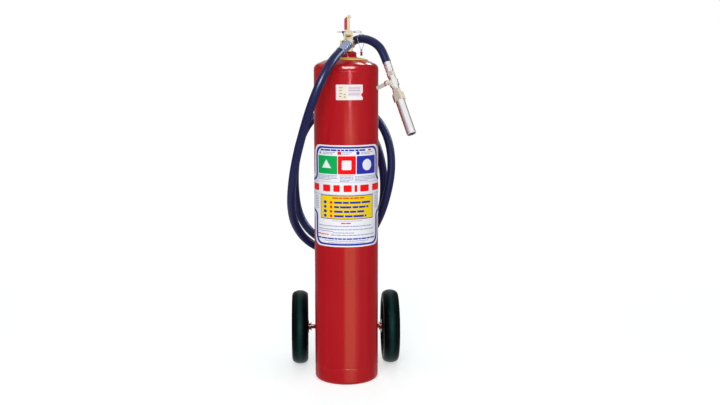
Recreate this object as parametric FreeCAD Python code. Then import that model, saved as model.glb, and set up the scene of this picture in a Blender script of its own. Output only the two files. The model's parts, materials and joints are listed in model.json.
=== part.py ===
import FreeCAD, Part
import math
import os
from FreeCAD import Vector

# Wheeled fire extinguisher: an upright steel cylinder on two rubber wheels, with a brass lever valve on
# top and a long hose that hangs in two turns on a saddle behind the cylinder and ends in a ball valve
# and a straight nozzle. Millimetres. +X is to the right seen from the front, +Y to the back, +Z up. The
# sizes are taken from the cylinder's axis on the floor. save() then moves each piece, so that the origin
# is the middle of the footprint of the cylinder and the wheels.

# Clearances and fits
skin_gap = 0.2          # between welded or screwed shells that nest
seat_gap = 0.3          # between pieces of different bodies
run_gap = 0.05          # radial, shaft in bush
thread_gap = 0.1        # radial, screwed spigot in its bore

# Cylinder
cylinder_diameter = 230.0
cylinder_wall = 4.0
skirt_height = 57.0
barrel_length = 1062.0
head_flange = 6.0       # straight flange of the dished heads
weld_groove = 1.5       # chamfer on each edge of a girth weld
bottom_overlap = 12.0   # bottom head's flange inside the barrel
foot_roll = 12.0        # outer radius of the skirt's rolled-in foot
foot_lip = 3.0          # flat width of the foot on the floor
knuckle_share = 0.1     # knuckle radius of a torispherical head, as a share of its diameter

# Neck and service collar
neck_diameter = 74.0
neck_height = 16.2      # above the crown of the top head
neck_depth = 14.0       # below the crown, inside
neck_chamfer = 3.0
valve_thread_diameter = 50.0
collar_inner_diameter = 92.0
collar_width = 24.0
collar_thickness = 2.2
collar_edge = 0.6
collar_shift = 8.0      # the loose collar leans to the right

# Wheels and axle
wheel_diameter = 280.0
wheel_width = 61.0
wheel_track = 345.0     # between the wheels' middle planes
axle_back = 184.0       # axle behind the cylinder's axis
axle_diameter = 16.0
rim_diameter = 200.0
rim_width = 46.0
rim_wall = 3.0
web_thickness = 5.0
tyre_crown_radius = 45.0
tyre_shoulder_radius = 16.0
tyre_bead_rise = 8.0    # from the rim's flange to the tyre's full width
tyre_bead_curve = (0.4, 0.7)    # middle of that curve, as shares of its rise and its width
hub_diameter = 50.0
hub_edge = 1.5
hub_overhang = 3.0      # hub proud of the tyre's side, towards the cylinder
hub_outboard = 14.0     # hub's length outboard of the wheel's middle plane
bush_wall = 3.0
collar_ring_diameter = 33.0
collar_ring_thickness = 3.0
spacer_wall = 4.0
spacer_length = 6.0
washer_thickness = 2.5
split_pin_diameter = 3.2
axle_end = 5.0          # axle past the split pin

# Axle carriage
bracket_spacing = 144.0
bracket_thickness = 6.0
bracket_low = 95.0
bracket_high = 200.0
bearing_tube_wall = 5.0
bearing_tube_length = 20.0
bearing_gap = 0.2
carriage_plate_back = 132.0
carriage_plate_thickness = 5.0
carriage_plate_height = 84.0

# Push handle
handle_tube_diameter = 22.0
handle_drop = 41.0      # below the top of the barrel
handle_spacing = 160.0
handle_back = 262.0
handle_bend = 32.0
grip_length = 92.0
grip_wall = 3.5

# Hose saddle
saddle_loop_radius = 165.0   # centre line of the hose over the saddle
saddle_drop = 296.0     # saddle's centre below the top of the barrel
saddle_front = 141.0
saddle_back = 187.0
saddle_sheet = 3.0
saddle_half_angle = 35.0
saddle_lip = 14.0
saddle_flange_inner = 102.0
rack_half_width = 42.0
rack_drop = 157.0       # top of the rack bracket below the top of the barrel
rack_height = 64.0
rack_sheet = 4.0
screw_diameter = 8.0
screw_head_diameter = 13.0
screw_head_height = 5.0
screw_spacing = 44.0
screw_edge = 22.0       # screws below the top of the rack bracket
screw_length = 16.0

# Hose guide behind the top of the barrel
guide_wall = 3.0
guide_length = 18.0
guide_strap_width = 18.0
guide_strap_thickness = 5.0

# Valve on the neck
stem_offset = 8.0       # valve chamber and lever, right of the neck's axis
gasket_thickness = 1.5
gasket_width = 5.5
foot_across_flats = 50.0
foot_height = 14.0
spigot_length = 36.0
chamber_diameter = 46.0
chamber_height = 26.0
chamber_edge = 2.0
cavity_diameter = 28.0
inlet_bore_diameter = 24.0
seat_bore_diameter = 14.0
seat_thickness = 7.0
outlet_bore_diameter = 12.0
outlet_offset = 3.0     # outlet, right of the stem's axis
outlet_drop = 11.0      # outlet's axis below the top of the chamber
outlet_boss_diameter = 30.0
outlet_boss_end = 29.0  # from the cylinder's axis to the front of the boss

# Dip tube
dip_tube_diameter = 23.8
dip_tube_wall = 1.5
dip_tube_floor_gap = 24.0
dip_tube_entry = 12.0

# Bonnet and fork
bonnet_diameter = 32.0
bonnet_height = 9.0
bonnet_spigot = 7.0
ear_thickness = 5.5
ear_half_depth = 14.0
pivot_height = 18.0     # lever's pivot above the top of the chamber
ear_top_radius = 15.0

# Stem, seal and spring
stem_diameter = 8.0
tappet_diameter = 12.0
tappet_thickness = 2.5
poppet_diameter = 21.0
poppet_thickness = 6.5
stem_seal_thickness = 2.3
stem_travel = 5.5
spring_wire = 1.6
spring_diameter = 16.0
spring_turns = 5
retainer_thickness = 3.5
retainer_hole = 10.0

# Lever
lever_angle = 80.0
lever_hub_width = 20.0
cam_radius = 8.5
web_half_depth = 7.0
web_top = 16.0
bar_width = 11.0
bar_length = 41.5
eye_radius = 7.5
eye_shift = 4.0         # eye's edge past the bar's right side
eye_hole_radius = 2.0
grip_side = 8.2
grip_back = 3.7
grip_clearance = 0.3
lever_grip_length = 45.0
grip_chamfer = 8.0
pivot_pin_diameter = 6.0
pivot_pin_head = 2.5

# Safety pin, pull ring and tamper seal
safety_pin_diameter = 3.8
safety_pin_clearance = 0.12
safety_pin_rise = 10.5  # above the pivot
safety_pin_tail = 23.0  # past the left ear
safety_slot_gap = 0.45
pull_ring_radius = 13.0
pull_ring_wire = 2.2
pull_ring_tilt = 15.0
eye_disc_radius = 4.0
eye_disc_thickness = 3.0
seal_bead_radius = 3.6
seal_bead_length = 6.0
seal_tag_height = 7.0
seal_tag_thickness = 2.0

# Burst plug on the chamber
plug_across_flats = 19.0
plug_head = 6.5
plug_shank = 8.0
plug_shank_diameter = 12.0

# Outlet elbow and the hose's ferrule at the valve
elbow_nut_across_flats = 30.0
elbow_nut_length = 9.0
elbow_ball_radius = 16.5
elbow_reach = 50.0      # ball of the elbow in front of the cylinder's axis
ferrule_diameter = 33.0
ferrule_rings = 4
ferrule_ring_depth = 0.7
ferrule_bore = 19.0

# Nozzle end, along its own axis from the end of the hose
tail_diameter = 28.0
tail_length = 39.0
coupling_across_flats = 26.0
coupling_length = 16.0
flow_bore = 16.0
valve_body_length = 51.0
valve_end_diameter = 27.0
valve_end_length = 11.0
valve_middle_diameter = 33.0
valve_groove = 1.0
ball_radius = 13.0
ball_bore = 15.0
ball_gap = 0.6
seat_ring_width = 3.0
ball_stem_diameter = 8.0
stem_boss_diameter = 18.0
stem_boss_end = 24.0    # from the flow axis
packing_across_flats = 17.0
packing_height = 7.0
lever_plate = 3.0
lever_plate_width = 15.0
lever_hub_radius = 9.0
lever_flat = 12.0
lever_arm = 32.0
lever_crank = 30.0
lever_nut_across_flats = 13.0
lever_nut_height = 5.5
adapter_length = 16.0
nozzle_hex_across_flats = 38.0
nozzle_hex_length = 28.0
jet_bore = 10.0
nozzle_tube_diameter = 33.0
nozzle_tube_wall = 2.1
nozzle_tube_length = 138.0
nozzle_tube_entry = 10.0

# Wire loop and tag that hang on the hose's arch
loop_wire = 1.8
loop_gap = 2.0
loop_drop = 34.0
loop_foot_radius = 4.0
lead_seal_radius = 3.6
tag_radius = 4.0
tag_length = 15.0

# Hose: diameter and route of its centre line, from the valve's ferrule to the nozzle's tail. It comes
# down the left, turns behind the barrel, goes over the saddle, makes a second turn, and arches over the
# top to the right. The route's heights are for a barrel whose top is at the datum, and move with it.
hose_diameter = 30.0
route_datum = 1119.0
hose_route = [
    (-23, -106, 1186), (-40, -134, 1171), (-62, -165, 1142), (-84, -184, 1102), (-106, -188, 1054),
    (-130, -174, 990), (-157, -138, 900), (-182, -88, 800), (-197, -32, 700), (-200, 27, 620),
    (-188, 90, 550), (-148, 140, 483), (-78, 166, 440), (8, 168, 440), (82, 166, 483), (128, 163, 557),
    (160, 160, 655), (177, 160, 760), (165, 160, 860), (121, 160, 944), (44, 160, 988), (-44, 162, 988),
    (-121, 169, 944), (-167, 182, 866), (-187, 196, 770), (-190, 204, 675), (-178, 206, 579),
    (-135, 206, 505), (-61, 206, 462), (25, 206, 462), (99, 206, 505), (142, 206, 579), (151, 206, 680),
    (141, 207, 780), (110, 209, 868), (62, 210, 940), (14, 208, 1004), (-18, 193, 1062),
    (-26, 171, 1118), (-14, 150, 1170), (12, 118, 1210), (41, 76, 1232), (72, 26, 1232),
    (104, -13, 1217), (127.5, -41.7, 1189.5), (140.7, -61, 1149)]

# Heights that follow from the sizes above
cylinder_radius = cylinder_diameter / 2
barrel_low = skirt_height
barrel_high = barrel_low + barrel_length
crown_radius = cylinder_diameter
hose_path = [Vector(x, y, z + barrel_high - route_datum) for x, y, z in hose_route]


def crown_centre(radius):
    """Height of a dished head's crown centre, above the end of its straight flange."""
    knuckle = knuckle_share * 2 * radius
    return -math.sqrt((2 * radius - knuckle) ** 2 - (radius - knuckle) ** 2)


head_flange_end = barrel_high + head_flange
crown_height = head_flange_end + crown_centre(cylinder_radius) + crown_radius
neck_top = crown_height + neck_height
foot_low = neck_top + gasket_thickness
chamber_low = foot_low + foot_height
chamber_high = chamber_low + chamber_height
pivot_z = chamber_high + pivot_height
pin_z = pivot_z + safety_pin_rise
outlet_z = chamber_high - outlet_drop
footprint_middle = (axle_back + wheel_diameter / 2 - cylinder_radius) / 2
wheel_radius = wheel_diameter / 2
axle_z = wheel_radius
handle_height = barrel_high - handle_drop
saddle_centre_height = barrel_high - saddle_drop
rack_high = barrel_high - rack_drop
rack_low = rack_high - rack_height
screw_height = rack_high - screw_edge
axle_radius = axle_diameter / 2
hub_inboard = wheel_width / 2 + hub_overhang
wheel_x = wheel_track / 2
hose_radius = hose_diameter / 2
UP = Vector(0, 0, 1)
RIGHT = Vector(1, 0, 0)
BACK = Vector(0, 1, 0)


def cylinder(start, direction, radius, length):
    return Part.makeCylinder(radius, length, Vector(*start), Vector(*direction))


def tube(start, direction, outer, inner, length):
    return cylinder(start, direction, outer, length).cut(cylinder(start, direction, inner, length))


def box(x0, x1, y0, y1, z0, z1):
    return Part.makeBox(x1 - x0, y1 - y0, z1 - z0, Vector(x0, y0, z0))


def edges_of(start, steps):
    """Edges from start through steps: a point is a line's end, a pair of points an arc's middle and end."""
    edges = []
    here = start
    for step in steps:
        if isinstance(step, tuple):
            edges.append(Part.Arc(here, step[0], step[1]).toShape())
            here = step[1]
        else:
            edges.append(Part.LineSegment(here, step).toShape())
            here = step
    return edges


def face_of(start, steps):
    return Part.Face(Part.Wire(edges_of(start, list(steps) + [start])))


def lathe(profile, centre=Vector(0, 0, 0), turn=None):
    """Turned piece: profile is a closed list of (radius, height) points about the upright axis."""
    points = [Vector(r, 0, z) for r, z in profile]
    solid = face_of(points[0], points[1:]).revolve(Vector(0, 0, 0), UP, 360)
    if turn is not None:
        solid.Placement = FreeCAD.Placement(Vector(0, 0, 0), turn)
    solid.translate(centre)
    return solid


def hexagon(start, direction, across_flats, length, turned=0.0):
    """Hexagonal prism that starts at a point and runs along a direction."""
    corner = across_flats / math.sqrt(3)
    angles = [math.radians(60 * i + turned) for i in range(6)]
    points = [Vector(corner * math.cos(a), corner * math.sin(a), 0) for a in angles]
    solid = face_of(points[0], points[1:]).extrude(Vector(0, 0, length))
    solid.Placement = FreeCAD.Placement(Vector(*start), FreeCAD.Rotation(UP, Vector(*direction)))
    return solid


def chamfered_hexagon(start, direction, across_flats, length, turned=0.0):
    """Nut blank: a hexagon whose corners are turned off at both ends."""
    blank = hexagon(start, direction, across_flats, length, turned)
    corner = across_flats / math.sqrt(3)
    flat = across_flats / 2
    slope = (corner - flat) / math.sqrt(3)
    profile = [(0, 0), (flat, 0), (corner, slope), (corner, length - slope), (flat, length), (0, length)]
    turn = FreeCAD.Rotation(UP, Vector(*direction))
    return blank.common(lathe(profile, Vector(*start), turn))


def save(name, shape):
    solids = shape.Solids
    if not solids or not shape.isValid():
        raise ValueError("bad shape: " + name)
    joined = solids[0] if len(solids) == 1 else Part.makeCompound(solids)
    joined.translate(Vector(0, -footprint_middle, 0))
    joined.exportStep(os.path.join("parts", name + ".step"))


# Cylinder shells

def dished_head(radius, wall, flange_low, flange_end, up=1):
    """Torispherical head as a shell; up is 1 for a dome and -1 for a dish."""
    knuckle = knuckle_share * 2 * radius
    crown = 2 * radius
    centre_z = crown_centre(radius)
    lean = math.asin((radius - knuckle) / (crown - knuckle))

    def half_line(inset):
        k = knuckle - inset
        c = crown - inset
        k_mid = (math.pi / 2 - lean) / 2
        k_x = radius - knuckle
        joint = Vector(c * math.sin(lean), 0, centre_z + c * math.cos(lean))
        k_arc = Vector(k_x + k * math.cos(k_mid), 0, k * math.sin(k_mid))
        c_arc = Vector(c * math.sin(lean / 2), 0, centre_z + c * math.cos(lean / 2))
        top = Vector(0, 0, centre_z + c)
        return k_arc, joint, c_arc, top

    outer = half_line(0)
    inner = half_line(wall)
    flange = flange_low - flange_end
    start = Vector(radius, 0, -abs(flange))
    steps = [Vector(radius, 0, 0), (outer[0], outer[1]), (outer[2], outer[3]), inner[3],
             (inner[2], inner[1]), (inner[0], Vector(radius - wall, 0, 0)),
             Vector(radius - wall, 0, -abs(flange))]
    head = face_of(start, steps).revolve(Vector(0, 0, 0), UP, 360)
    if up < 0:
        head = head.mirror(Vector(0, 0, 0), UP)
    head.translate(Vector(0, 0, flange_end))
    return head


def build_skirt():
    """Base ring: its foot is rolled in to a flat lip that stands on the floor."""
    outer = cylinder_radius
    inner = outer - cylinder_wall
    turn = outer - foot_roll
    lip = turn - foot_lip
    half = math.sqrt(0.5)
    outside = Vector(turn + foot_roll * half, 0, foot_roll * (1 - half))
    bend = foot_roll - cylinder_wall
    inside = Vector(turn + bend * half, 0, foot_roll - bend * half)
    steps = [Vector(turn, 0, 0), (outside, Vector(outer, 0, foot_roll)),
             Vector(outer, 0, skirt_height - weld_groove), Vector(outer - weld_groove, 0, skirt_height),
             Vector(inner, 0, skirt_height), Vector(inner, 0, foot_roll),
             (inside, Vector(turn, 0, cylinder_wall)), Vector(lip, 0, cylinder_wall)]
    save("base_skirt", face_of(Vector(lip, 0, 0), steps).revolve(Vector(0, 0, 0), UP, 360))


def build_barrel():
    """Long wall of the cylinder, with a weld chamfer on each outer edge."""
    outer = cylinder_radius
    inner = outer - cylinder_wall
    g = weld_groove
    save("barrel", lathe([(inner, barrel_low), (outer - g, barrel_low), (outer, barrel_low + g),
                          (outer, barrel_high - g), (outer - g, barrel_high), (inner, barrel_high)]))


def build_cylinder():
    build_skirt()
    build_barrel()
    inner_radius = cylinder_radius - cylinder_wall - skin_gap
    bottom = dished_head(inner_radius, cylinder_wall, skirt_height + bottom_overlap, skirt_height, -1)
    save("bottom_head", bottom)
    top = dished_head(cylinder_radius, cylinder_wall, barrel_high, head_flange_end)
    chamfer = [(cylinder_radius - weld_groove, barrel_high), (cylinder_radius + 1, barrel_high),
               (cylinder_radius + 1, barrel_high + weld_groove + 1)]
    top = top.cut(lathe(chamfer))
    neck_radius = neck_diameter / 2
    hole_low = crown_height - 2 * neck_depth
    top = top.cut(cylinder((0, 0, hole_low), UP, neck_radius + skin_gap, 4 * neck_depth))
    save("top_head", top)
    bore = valve_thread_diameter / 2 + thread_gap
    low = crown_height - neck_depth
    save("neck_boss", lathe([(bore, low), (neck_radius, low), (neck_radius, neck_top - neck_chamfer),
                             (neck_radius - neck_chamfer, neck_top), (bore, neck_top)]))


def build_service_collar():
    """Thin dished ring that lies loose on the dome and has slid a little to the right."""
    inner = collar_inner_diameter / 2
    outer = inner + collar_width
    low = crown_radius + seat_gap
    high = low + collar_thickness
    edge = collar_edge

    def at(radius, sphere):
        return Vector(radius, 0, math.sqrt(sphere ** 2 - radius ** 2))

    middle = (inner + outer) / 2
    steps = [(at(middle, low), at(outer - edge, low)), at(outer, low + edge), at(outer, high - edge),
             at(outer - edge, high), (at(middle, high), at(inner + edge, high)), at(inner, high - edge)]
    ring = face_of(at(inner, low), steps).revolve(Vector(0, 0, 0), UP, 360)
    lean = math.degrees(math.asin(collar_shift / crown_radius))
    ring.rotate(Vector(0, 0, 0), BACK, lean)
    ring.translate(Vector(0, 0, crown_height - crown_radius))
    save("service_collar", ring)


# Wheels and axle

def about_axle(profile, x, side):
    """Turned piece on the axle: profile heights run outboard from the wheel's middle plane."""
    turn = FreeCAD.Rotation(UP, Vector(side, 0, 0))
    return lathe(profile, Vector(side * x, axle_back, axle_z), turn)


def tyre_section():
    """Section of the tyre: a bead between the rim's flanges, bulged sides and a round tread."""
    half = wheel_width / 2
    bead = rim_width / 2 - skin_gap
    seat = rim_diameter / 2 + skin_gap
    flange = rim_diameter / 2 + 2 * rim_wall + skin_gap
    crown = tyre_crown_radius
    shoulder = tyre_shoulder_radius
    centre = wheel_radius - crown
    spread = math.asin((half - shoulder) / (crown - shoulder))
    corner = centre + (crown - shoulder) * math.cos(spread)
    corner_half = (math.pi / 2 - spread) / 2
    full = flange + tyre_bead_rise
    lift = tyre_bead_curve[0] * tyre_bead_rise
    side_z = bead + tyre_bead_curve[1] * (half - bead)

    def tread(angle, side):
        return Vector(centre + crown * math.cos(angle), 0, side * crown * math.sin(angle))

    def shoulder_point(angle, side):
        z = half - shoulder + shoulder * math.cos(angle)
        return Vector(corner + shoulder * math.sin(angle), 0, side * z)

    steps = [(Vector(flange + lift, 0, -side_z), Vector(full, 0, -half)),
             shoulder_point(0, -1), (shoulder_point(corner_half, -1), tread(spread, -1)),
             (tread(0, 1), tread(spread, 1)), (shoulder_point(corner_half, 1), shoulder_point(0, 1)),
             Vector(full, 0, half),
             (Vector(flange + lift, 0, side_z), Vector(flange, 0, bead)),
             Vector(seat, 0, bead), Vector(seat, 0, -bead)]
    return face_of(Vector(flange, 0, -bead), steps)


def rim_section():
    """Points of the rim's section: a band with a rolled flange on each side."""
    band = rim_diameter / 2
    flange = band + 2 * rim_wall
    inner = band - rim_wall
    half = rim_width / 2
    edge = half + rim_wall
    return [(inner, -edge), (flange, -edge), (flange, -half), (band, -half), (band, half), (flange, half),
            (flange, edge), (inner, edge)]


def hub_section():
    """Points of the hub's section: a boss round the bush, long towards the cylinder."""
    bore = axle_radius + run_gap + bush_wall + skin_gap / 2
    hub = hub_diameter / 2
    edge = hub_edge
    return [(bore, -hub_inboard), (hub - edge, -hub_inboard), (hub, edge - hub_inboard),
            (hub, hub_outboard - edge), (hub - edge, hub_outboard), (bore, hub_outboard)]


def web_section():
    """Points of the pressed web's section, thicker where it meets the hub and the rim."""
    inner = hub_diameter / 2 + skin_gap
    outer = rim_diameter / 2 - rim_wall - skin_gap
    thin = web_thickness / 2
    thick = web_thickness * 0.9
    return [(inner, -thick), (inner + 4, -thick), (inner + 10, -thin), (outer - 10, -thin),
            (outer - 4, -thick), (outer, -thick), (outer, thick), (outer - 4, thick), (outer - 10, thin),
            (inner + 10, thin), (inner + 4, thick), (inner, thick)]


def build_wheel(name, side):
    tyre = tyre_section().revolve(Vector(0, 0, 0), UP, 360)
    tyre.Placement = FreeCAD.Placement(Vector(side * wheel_x, axle_back, axle_z),
                                       FreeCAD.Rotation(UP, Vector(side, 0, 0)))
    save("tyre_" + name, tyre)
    save("wheel_rim_" + name, about_axle(rim_section(), wheel_x, side))
    save("wheel_web_" + name, about_axle(web_section(), wheel_x, side))
    save("wheel_hub_" + name, about_axle(hub_section(), wheel_x, side))
    inner = axle_radius + run_gap
    outer = inner + bush_wall
    bush = [(inner, -hub_inboard), (outer, -hub_inboard), (outer, hub_outboard), (inner, hub_outboard)]
    save("wheel_bush_" + name, about_axle(bush, wheel_x, side))


def split_pin(side, x):
    """Split pin through the axle, with its eye at the top and its legs bent apart below."""
    r = split_pin_diameter / 2
    reach = axle_radius + 3
    at = Vector(side * x, axle_back, axle_z)
    shank = cylinder((at.x, at.y, at.z - reach), UP, r, 2 * reach)
    eye = Part.makeTorus(2 * r, r, Vector(at.x, at.y, at.z + reach + 2 * r), RIGHT)
    legs = cylinder((at.x, at.y - 2 * r, at.z - reach), BACK, r, 4 * r)
    return shank.fuse([eye, legs]).removeSplitter()


def build_axle():
    hub_outer = wheel_x + hub_outboard + seat_gap
    pin_x = hub_outer + washer_thickness + seat_gap + split_pin_diameter / 2 + 1
    end_x = pin_x + axle_end
    spacer_outer = wheel_x - hub_inboard - seat_gap
    spacer_inner = spacer_outer - spacer_length
    rod = cylinder((-end_x, axle_back, axle_z), RIGHT, axle_radius, 2 * end_x)
    rod = rod.makeChamfer(1.0, [e for e in rod.Edges if e.Curve.TypeId == "Part::GeomCircle"])
    hole = axle_radius + 1
    spacers, washers, pins = [], [], []
    for side in (-1, 1):
        start = spacer_inner - seat_gap - collar_ring_thickness
        x = start if side > 0 else -start - collar_ring_thickness
        outer = collar_ring_diameter / 2
        rod = rod.fuse(cylinder((x, axle_back, axle_z), RIGHT, outer, collar_ring_thickness))
        pin_hole = cylinder((side * pin_x, axle_back, axle_z - hole), UP, split_pin_diameter / 2 + skin_gap,
                            2 * hole)
        rod = rod.cut(pin_hole)
        inner = axle_radius + skin_gap
        sleeve = inner + spacer_wall
        spacer = [(inner, 0), (sleeve, 0), (sleeve, spacer_length), (inner, spacer_length)]
        spacers.append(about_axle(spacer, spacer_inner, side))
        washer = [(inner, 0), (outer, 0), (outer, washer_thickness), (inner, washer_thickness)]
        washers.append(about_axle(washer, hub_outer, side))
        pins.append(split_pin(side, pin_x))
    save("axle", rod.removeSplitter())
    save("axle_washers", Part.makeCompound(spacers + washers))
    save("split_pins", Part.makeCompound(pins))


def barrel_cutter(gap=skin_gap):
    return cylinder((0, 0, 0), UP, cylinder_radius + gap, barrel_high)


def build_carriage():
    """Two plates welded to the barrel carry the axle in short tubes; a cross plate ties them."""
    tube_outer = axle_radius + bearing_gap + bearing_tube_wall
    half = bracket_spacing / 2
    for name, side in (("left", -1), ("right", 1)):
        x0 = side * half - bracket_thickness / 2
        nose = tube_outer + 7
        start = Vector(x0, 60, bracket_low)
        middle_y = axle_back - 30
        steps = [Vector(x0, middle_y, bracket_low + 5),
                 Vector(x0, axle_back, axle_z - nose),
                 (Vector(x0, axle_back + nose, axle_z), Vector(x0, axle_back, axle_z + nose)),
                 Vector(x0, middle_y, bracket_high - 18), Vector(x0, 60, bracket_high)]
        plate = face_of(start, steps).extrude(Vector(bracket_thickness, 0, 0))
        bearing_x = side * half - bearing_tube_length / 2
        bearing = cylinder((bearing_x, axle_back, axle_z), RIGHT, tube_outer, bearing_tube_length)
        plate = plate.cut(barrel_cutter()).fuse(bearing)
        bore = cylinder((bearing_x, axle_back, axle_z), RIGHT, axle_radius + bearing_gap, bearing_tube_length)
        save("axle_bracket_" + name, plate.cut(bore).removeSplitter())
    inner = half - bracket_thickness / 2 - skin_gap
    low = axle_z - carriage_plate_height / 2
    plate = box(-inner, inner, carriage_plate_back, carriage_plate_back + carriage_plate_thickness, low,
                low + carriage_plate_height)
    uprights = [e for e in plate.Edges if abs(e.tangentAt(0).y) > 0.9]
    save("carriage_plate", plate.makeFillet(10.0, uprights))


# Handle, saddle and hose guide

def build_handle():
    """Bent tube handle across the back of the barrel, with a rubber grip on its crossbar."""
    half = handle_spacing / 2
    z = handle_height
    r = handle_bend
    c = r * (1 - math.sqrt(0.5))
    start = Vector(-half, 40, z)
    steps = [Vector(-half, handle_back - r, z),
             (Vector(-half + c, handle_back - c, z), Vector(-half + r, handle_back, z)),
             Vector(half - r, handle_back, z),
             (Vector(half - c, handle_back - c, z), Vector(half, handle_back - r, z)),
             Vector(half, 40, z)]
    path = Part.Wire(edges_of(start, steps))
    section = Part.Wire(Part.makeCircle(handle_tube_diameter / 2, start, BACK))
    frame = path.makePipeShell([section], True, False)
    save("handle_frame", frame.cut(barrel_cutter()))
    inner = handle_tube_diameter / 2 + skin_gap
    outer = inner + grip_wall
    ridge = 1.2
    profile = [(inner, 0), (outer + ridge, 0), (outer + ridge, 5), (outer, 7), (outer, grip_length - 7),
               (outer + ridge, grip_length - 5), (outer + ridge, grip_length), (inner, grip_length)]
    grip = lathe(profile, Vector(-grip_length / 2, handle_back, z), FreeCAD.Rotation(UP, RIGHT))
    save("handle_grip", grip)


def saddle_sector(inner, outer, y0, y1, half_angle=saddle_half_angle):
    """Sector of a ring about the saddle's centre, upright in the XZ plane."""
    def at(radius, angle):
        a = math.radians(angle)
        return Vector(radius * math.sin(a), y0, saddle_centre_height + radius * math.cos(a))

    start = at(inner, -half_angle)
    steps = [at(outer, -half_angle), (at(outer, 0), at(outer, half_angle)), at(inner, half_angle)]
    edges = edges_of(start, steps) + [Part.Arc(at(inner, half_angle), at(inner, 0), start).toShape()]
    return Part.Face(Part.Wire(edges)).extrude(Vector(0, y1 - y0, 0))


def build_saddle():
    """Curved trough that carries the upper turn of the hose, on a folded bracket behind the barrel."""
    bed = saddle_loop_radius - hose_radius - seat_gap
    trough = saddle_sector(bed - saddle_sheet, bed, saddle_front, saddle_back)
    front = saddle_sector(saddle_flange_inner, bed + saddle_lip, saddle_front, saddle_front + saddle_sheet)
    back = saddle_sector(bed - saddle_sheet, bed + saddle_lip, saddle_back - saddle_sheet, saddle_back)
    saddle = trough.fuse([front, back])
    hole = screw_diameter / 2 + skin_gap
    for side in (-1, 1):
        x = side * screw_spacing / 2
        saddle = saddle.cut(cylinder((x, saddle_front - 1, screw_height), BACK, hole, saddle_sheet + 2))
    save("hose_saddle", saddle.removeSplitter())
    outer = box(-rack_half_width, rack_half_width, 60, saddle_front, rack_low, rack_high)
    w = rack_half_width - rack_sheet
    pocket = box(-w, w, 50, saddle_front - rack_sheet, rack_low, rack_high)
    bracket = outer.cut(pocket).cut(barrel_cutter())
    screws = []
    for side in (-1, 1):
        x = side * screw_spacing / 2
        bracket = bracket.cut(cylinder((x, saddle_front - rack_sheet - 1, screw_height), BACK,
                                       screw_diameter / 2 + skin_gap, rack_sheet + 2))
        head_y = saddle_front + saddle_sheet
        shank = cylinder((x, head_y - screw_length, screw_height), BACK, screw_diameter / 2, screw_length)
        head = cylinder((x, head_y, screw_height), BACK, screw_head_diameter / 2, screw_head_height)
        socket = hexagon((x, head_y + screw_head_height / 2, screw_height), BACK, screw_head_diameter / 2.2,
                         screw_head_height)
        screws.append(shank.fuse(head).cut(socket).removeSplitter())
    save("rack_bracket", bracket)
    save("rack_screws", Part.makeCompound(screws))


def between(a, b, share):
    return a + (b - a) * share


def build_hose_guide():
    """Clip on the barrel's back that holds the hose where it climbs to its arch."""
    low, high = hose_path[37:39]
    middle = between(low, high, 0.5)
    along = (high - low).normalize()
    inner = hose_radius + seat_gap
    outer = inner + guide_wall
    start = middle - along * (guide_length / 2)
    ring = tube(start, along, outer, inner, guide_length)
    x = middle.x
    strap = box(x - guide_strap_width / 2, x + guide_strap_width / 2, 60, middle.y - inner - 1,
                middle.z - guide_strap_thickness / 2, middle.z + guide_strap_thickness / 2)
    strap = strap.cut(barrel_cutter()).cut(cylinder(start, along, inner, guide_length))
    save("hose_guide", ring.fuse(strap).removeSplitter())


# Valve on the neck

def build_valve_body():
    """Brass body: threaded spigot, hexagon foot, round chamber and three ports."""
    x = stem_offset
    spigot = cylinder((0, 0, foot_low - spigot_length), UP, valve_thread_diameter / 2, spigot_length)
    foot = chamfered_hexagon((0, 0, foot_low), UP, foot_across_flats, foot_height + 1, 30)
    chamber = cylinder((x, 0, chamber_low), UP, chamber_diameter / 2, chamber_height)
    top_edge = [e for e in chamber.Edges if e.BoundBox.ZMin > chamber_high - 0.1]
    chamber = chamber.makeChamfer(chamber_edge, top_edge)
    outlet_x = x + outlet_offset
    boss = cylinder((outlet_x, 0, outlet_z), -BACK, outlet_boss_diameter / 2, outlet_boss_end)
    boss = boss.common(box(-60, 60, -60, 0, outlet_z - 60, chamber_high - chamber_edge - 1))
    body = spigot.fuse([foot, chamber, boss])
    seat_high = chamber_low + seat_thickness
    inlet_length = spigot_length + foot_height
    cuts = [cylinder((x, 0, foot_low - spigot_length), UP, inlet_bore_diameter / 2, inlet_length),
            cylinder((x, 0, foot_low), UP, seat_bore_diameter / 2, seat_high - foot_low),
            cylinder((x, 0, seat_high), UP, cavity_diameter / 2, chamber_height),
            cylinder((outlet_x, 0, outlet_z), -BACK, outlet_bore_diameter / 2, outlet_boss_end),
            cylinder((x, 0, outlet_z), -RIGHT, plug_shank_diameter / 2 + thread_gap, chamber_diameter)]
    for tool in cuts:
        body = body.cut(tool)
    save("valve_body", body.removeSplitter())
    inner = valve_thread_diameter / 2 + thread_gap
    save("neck_gasket", lathe([(inner, neck_top), (inner + gasket_width, neck_top),
                               (inner + gasket_width, foot_low), (inner, foot_low)]))


def seat_face():
    """Height of the valve seat that the stem's seal closes from below."""
    return foot_low + foot_height


def build_dip_tube():
    top = foot_low - spigot_length + dip_tube_entry
    low = skirt_height + crown_centre(cylinder_radius) * -1 - crown_radius + dip_tube_floor_gap
    low = max(low, dip_tube_floor_gap + cylinder_wall)
    outer = dip_tube_diameter / 2
    pipe = tube((stem_offset, 0, low), UP, outer, outer - dip_tube_wall, top - low)
    notch = box(stem_offset - 2 * outer, stem_offset + 2 * outer, -3, 3, low - 1, low + 8)
    save("dip_tube", pipe.cut(notch))
    return top


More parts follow.
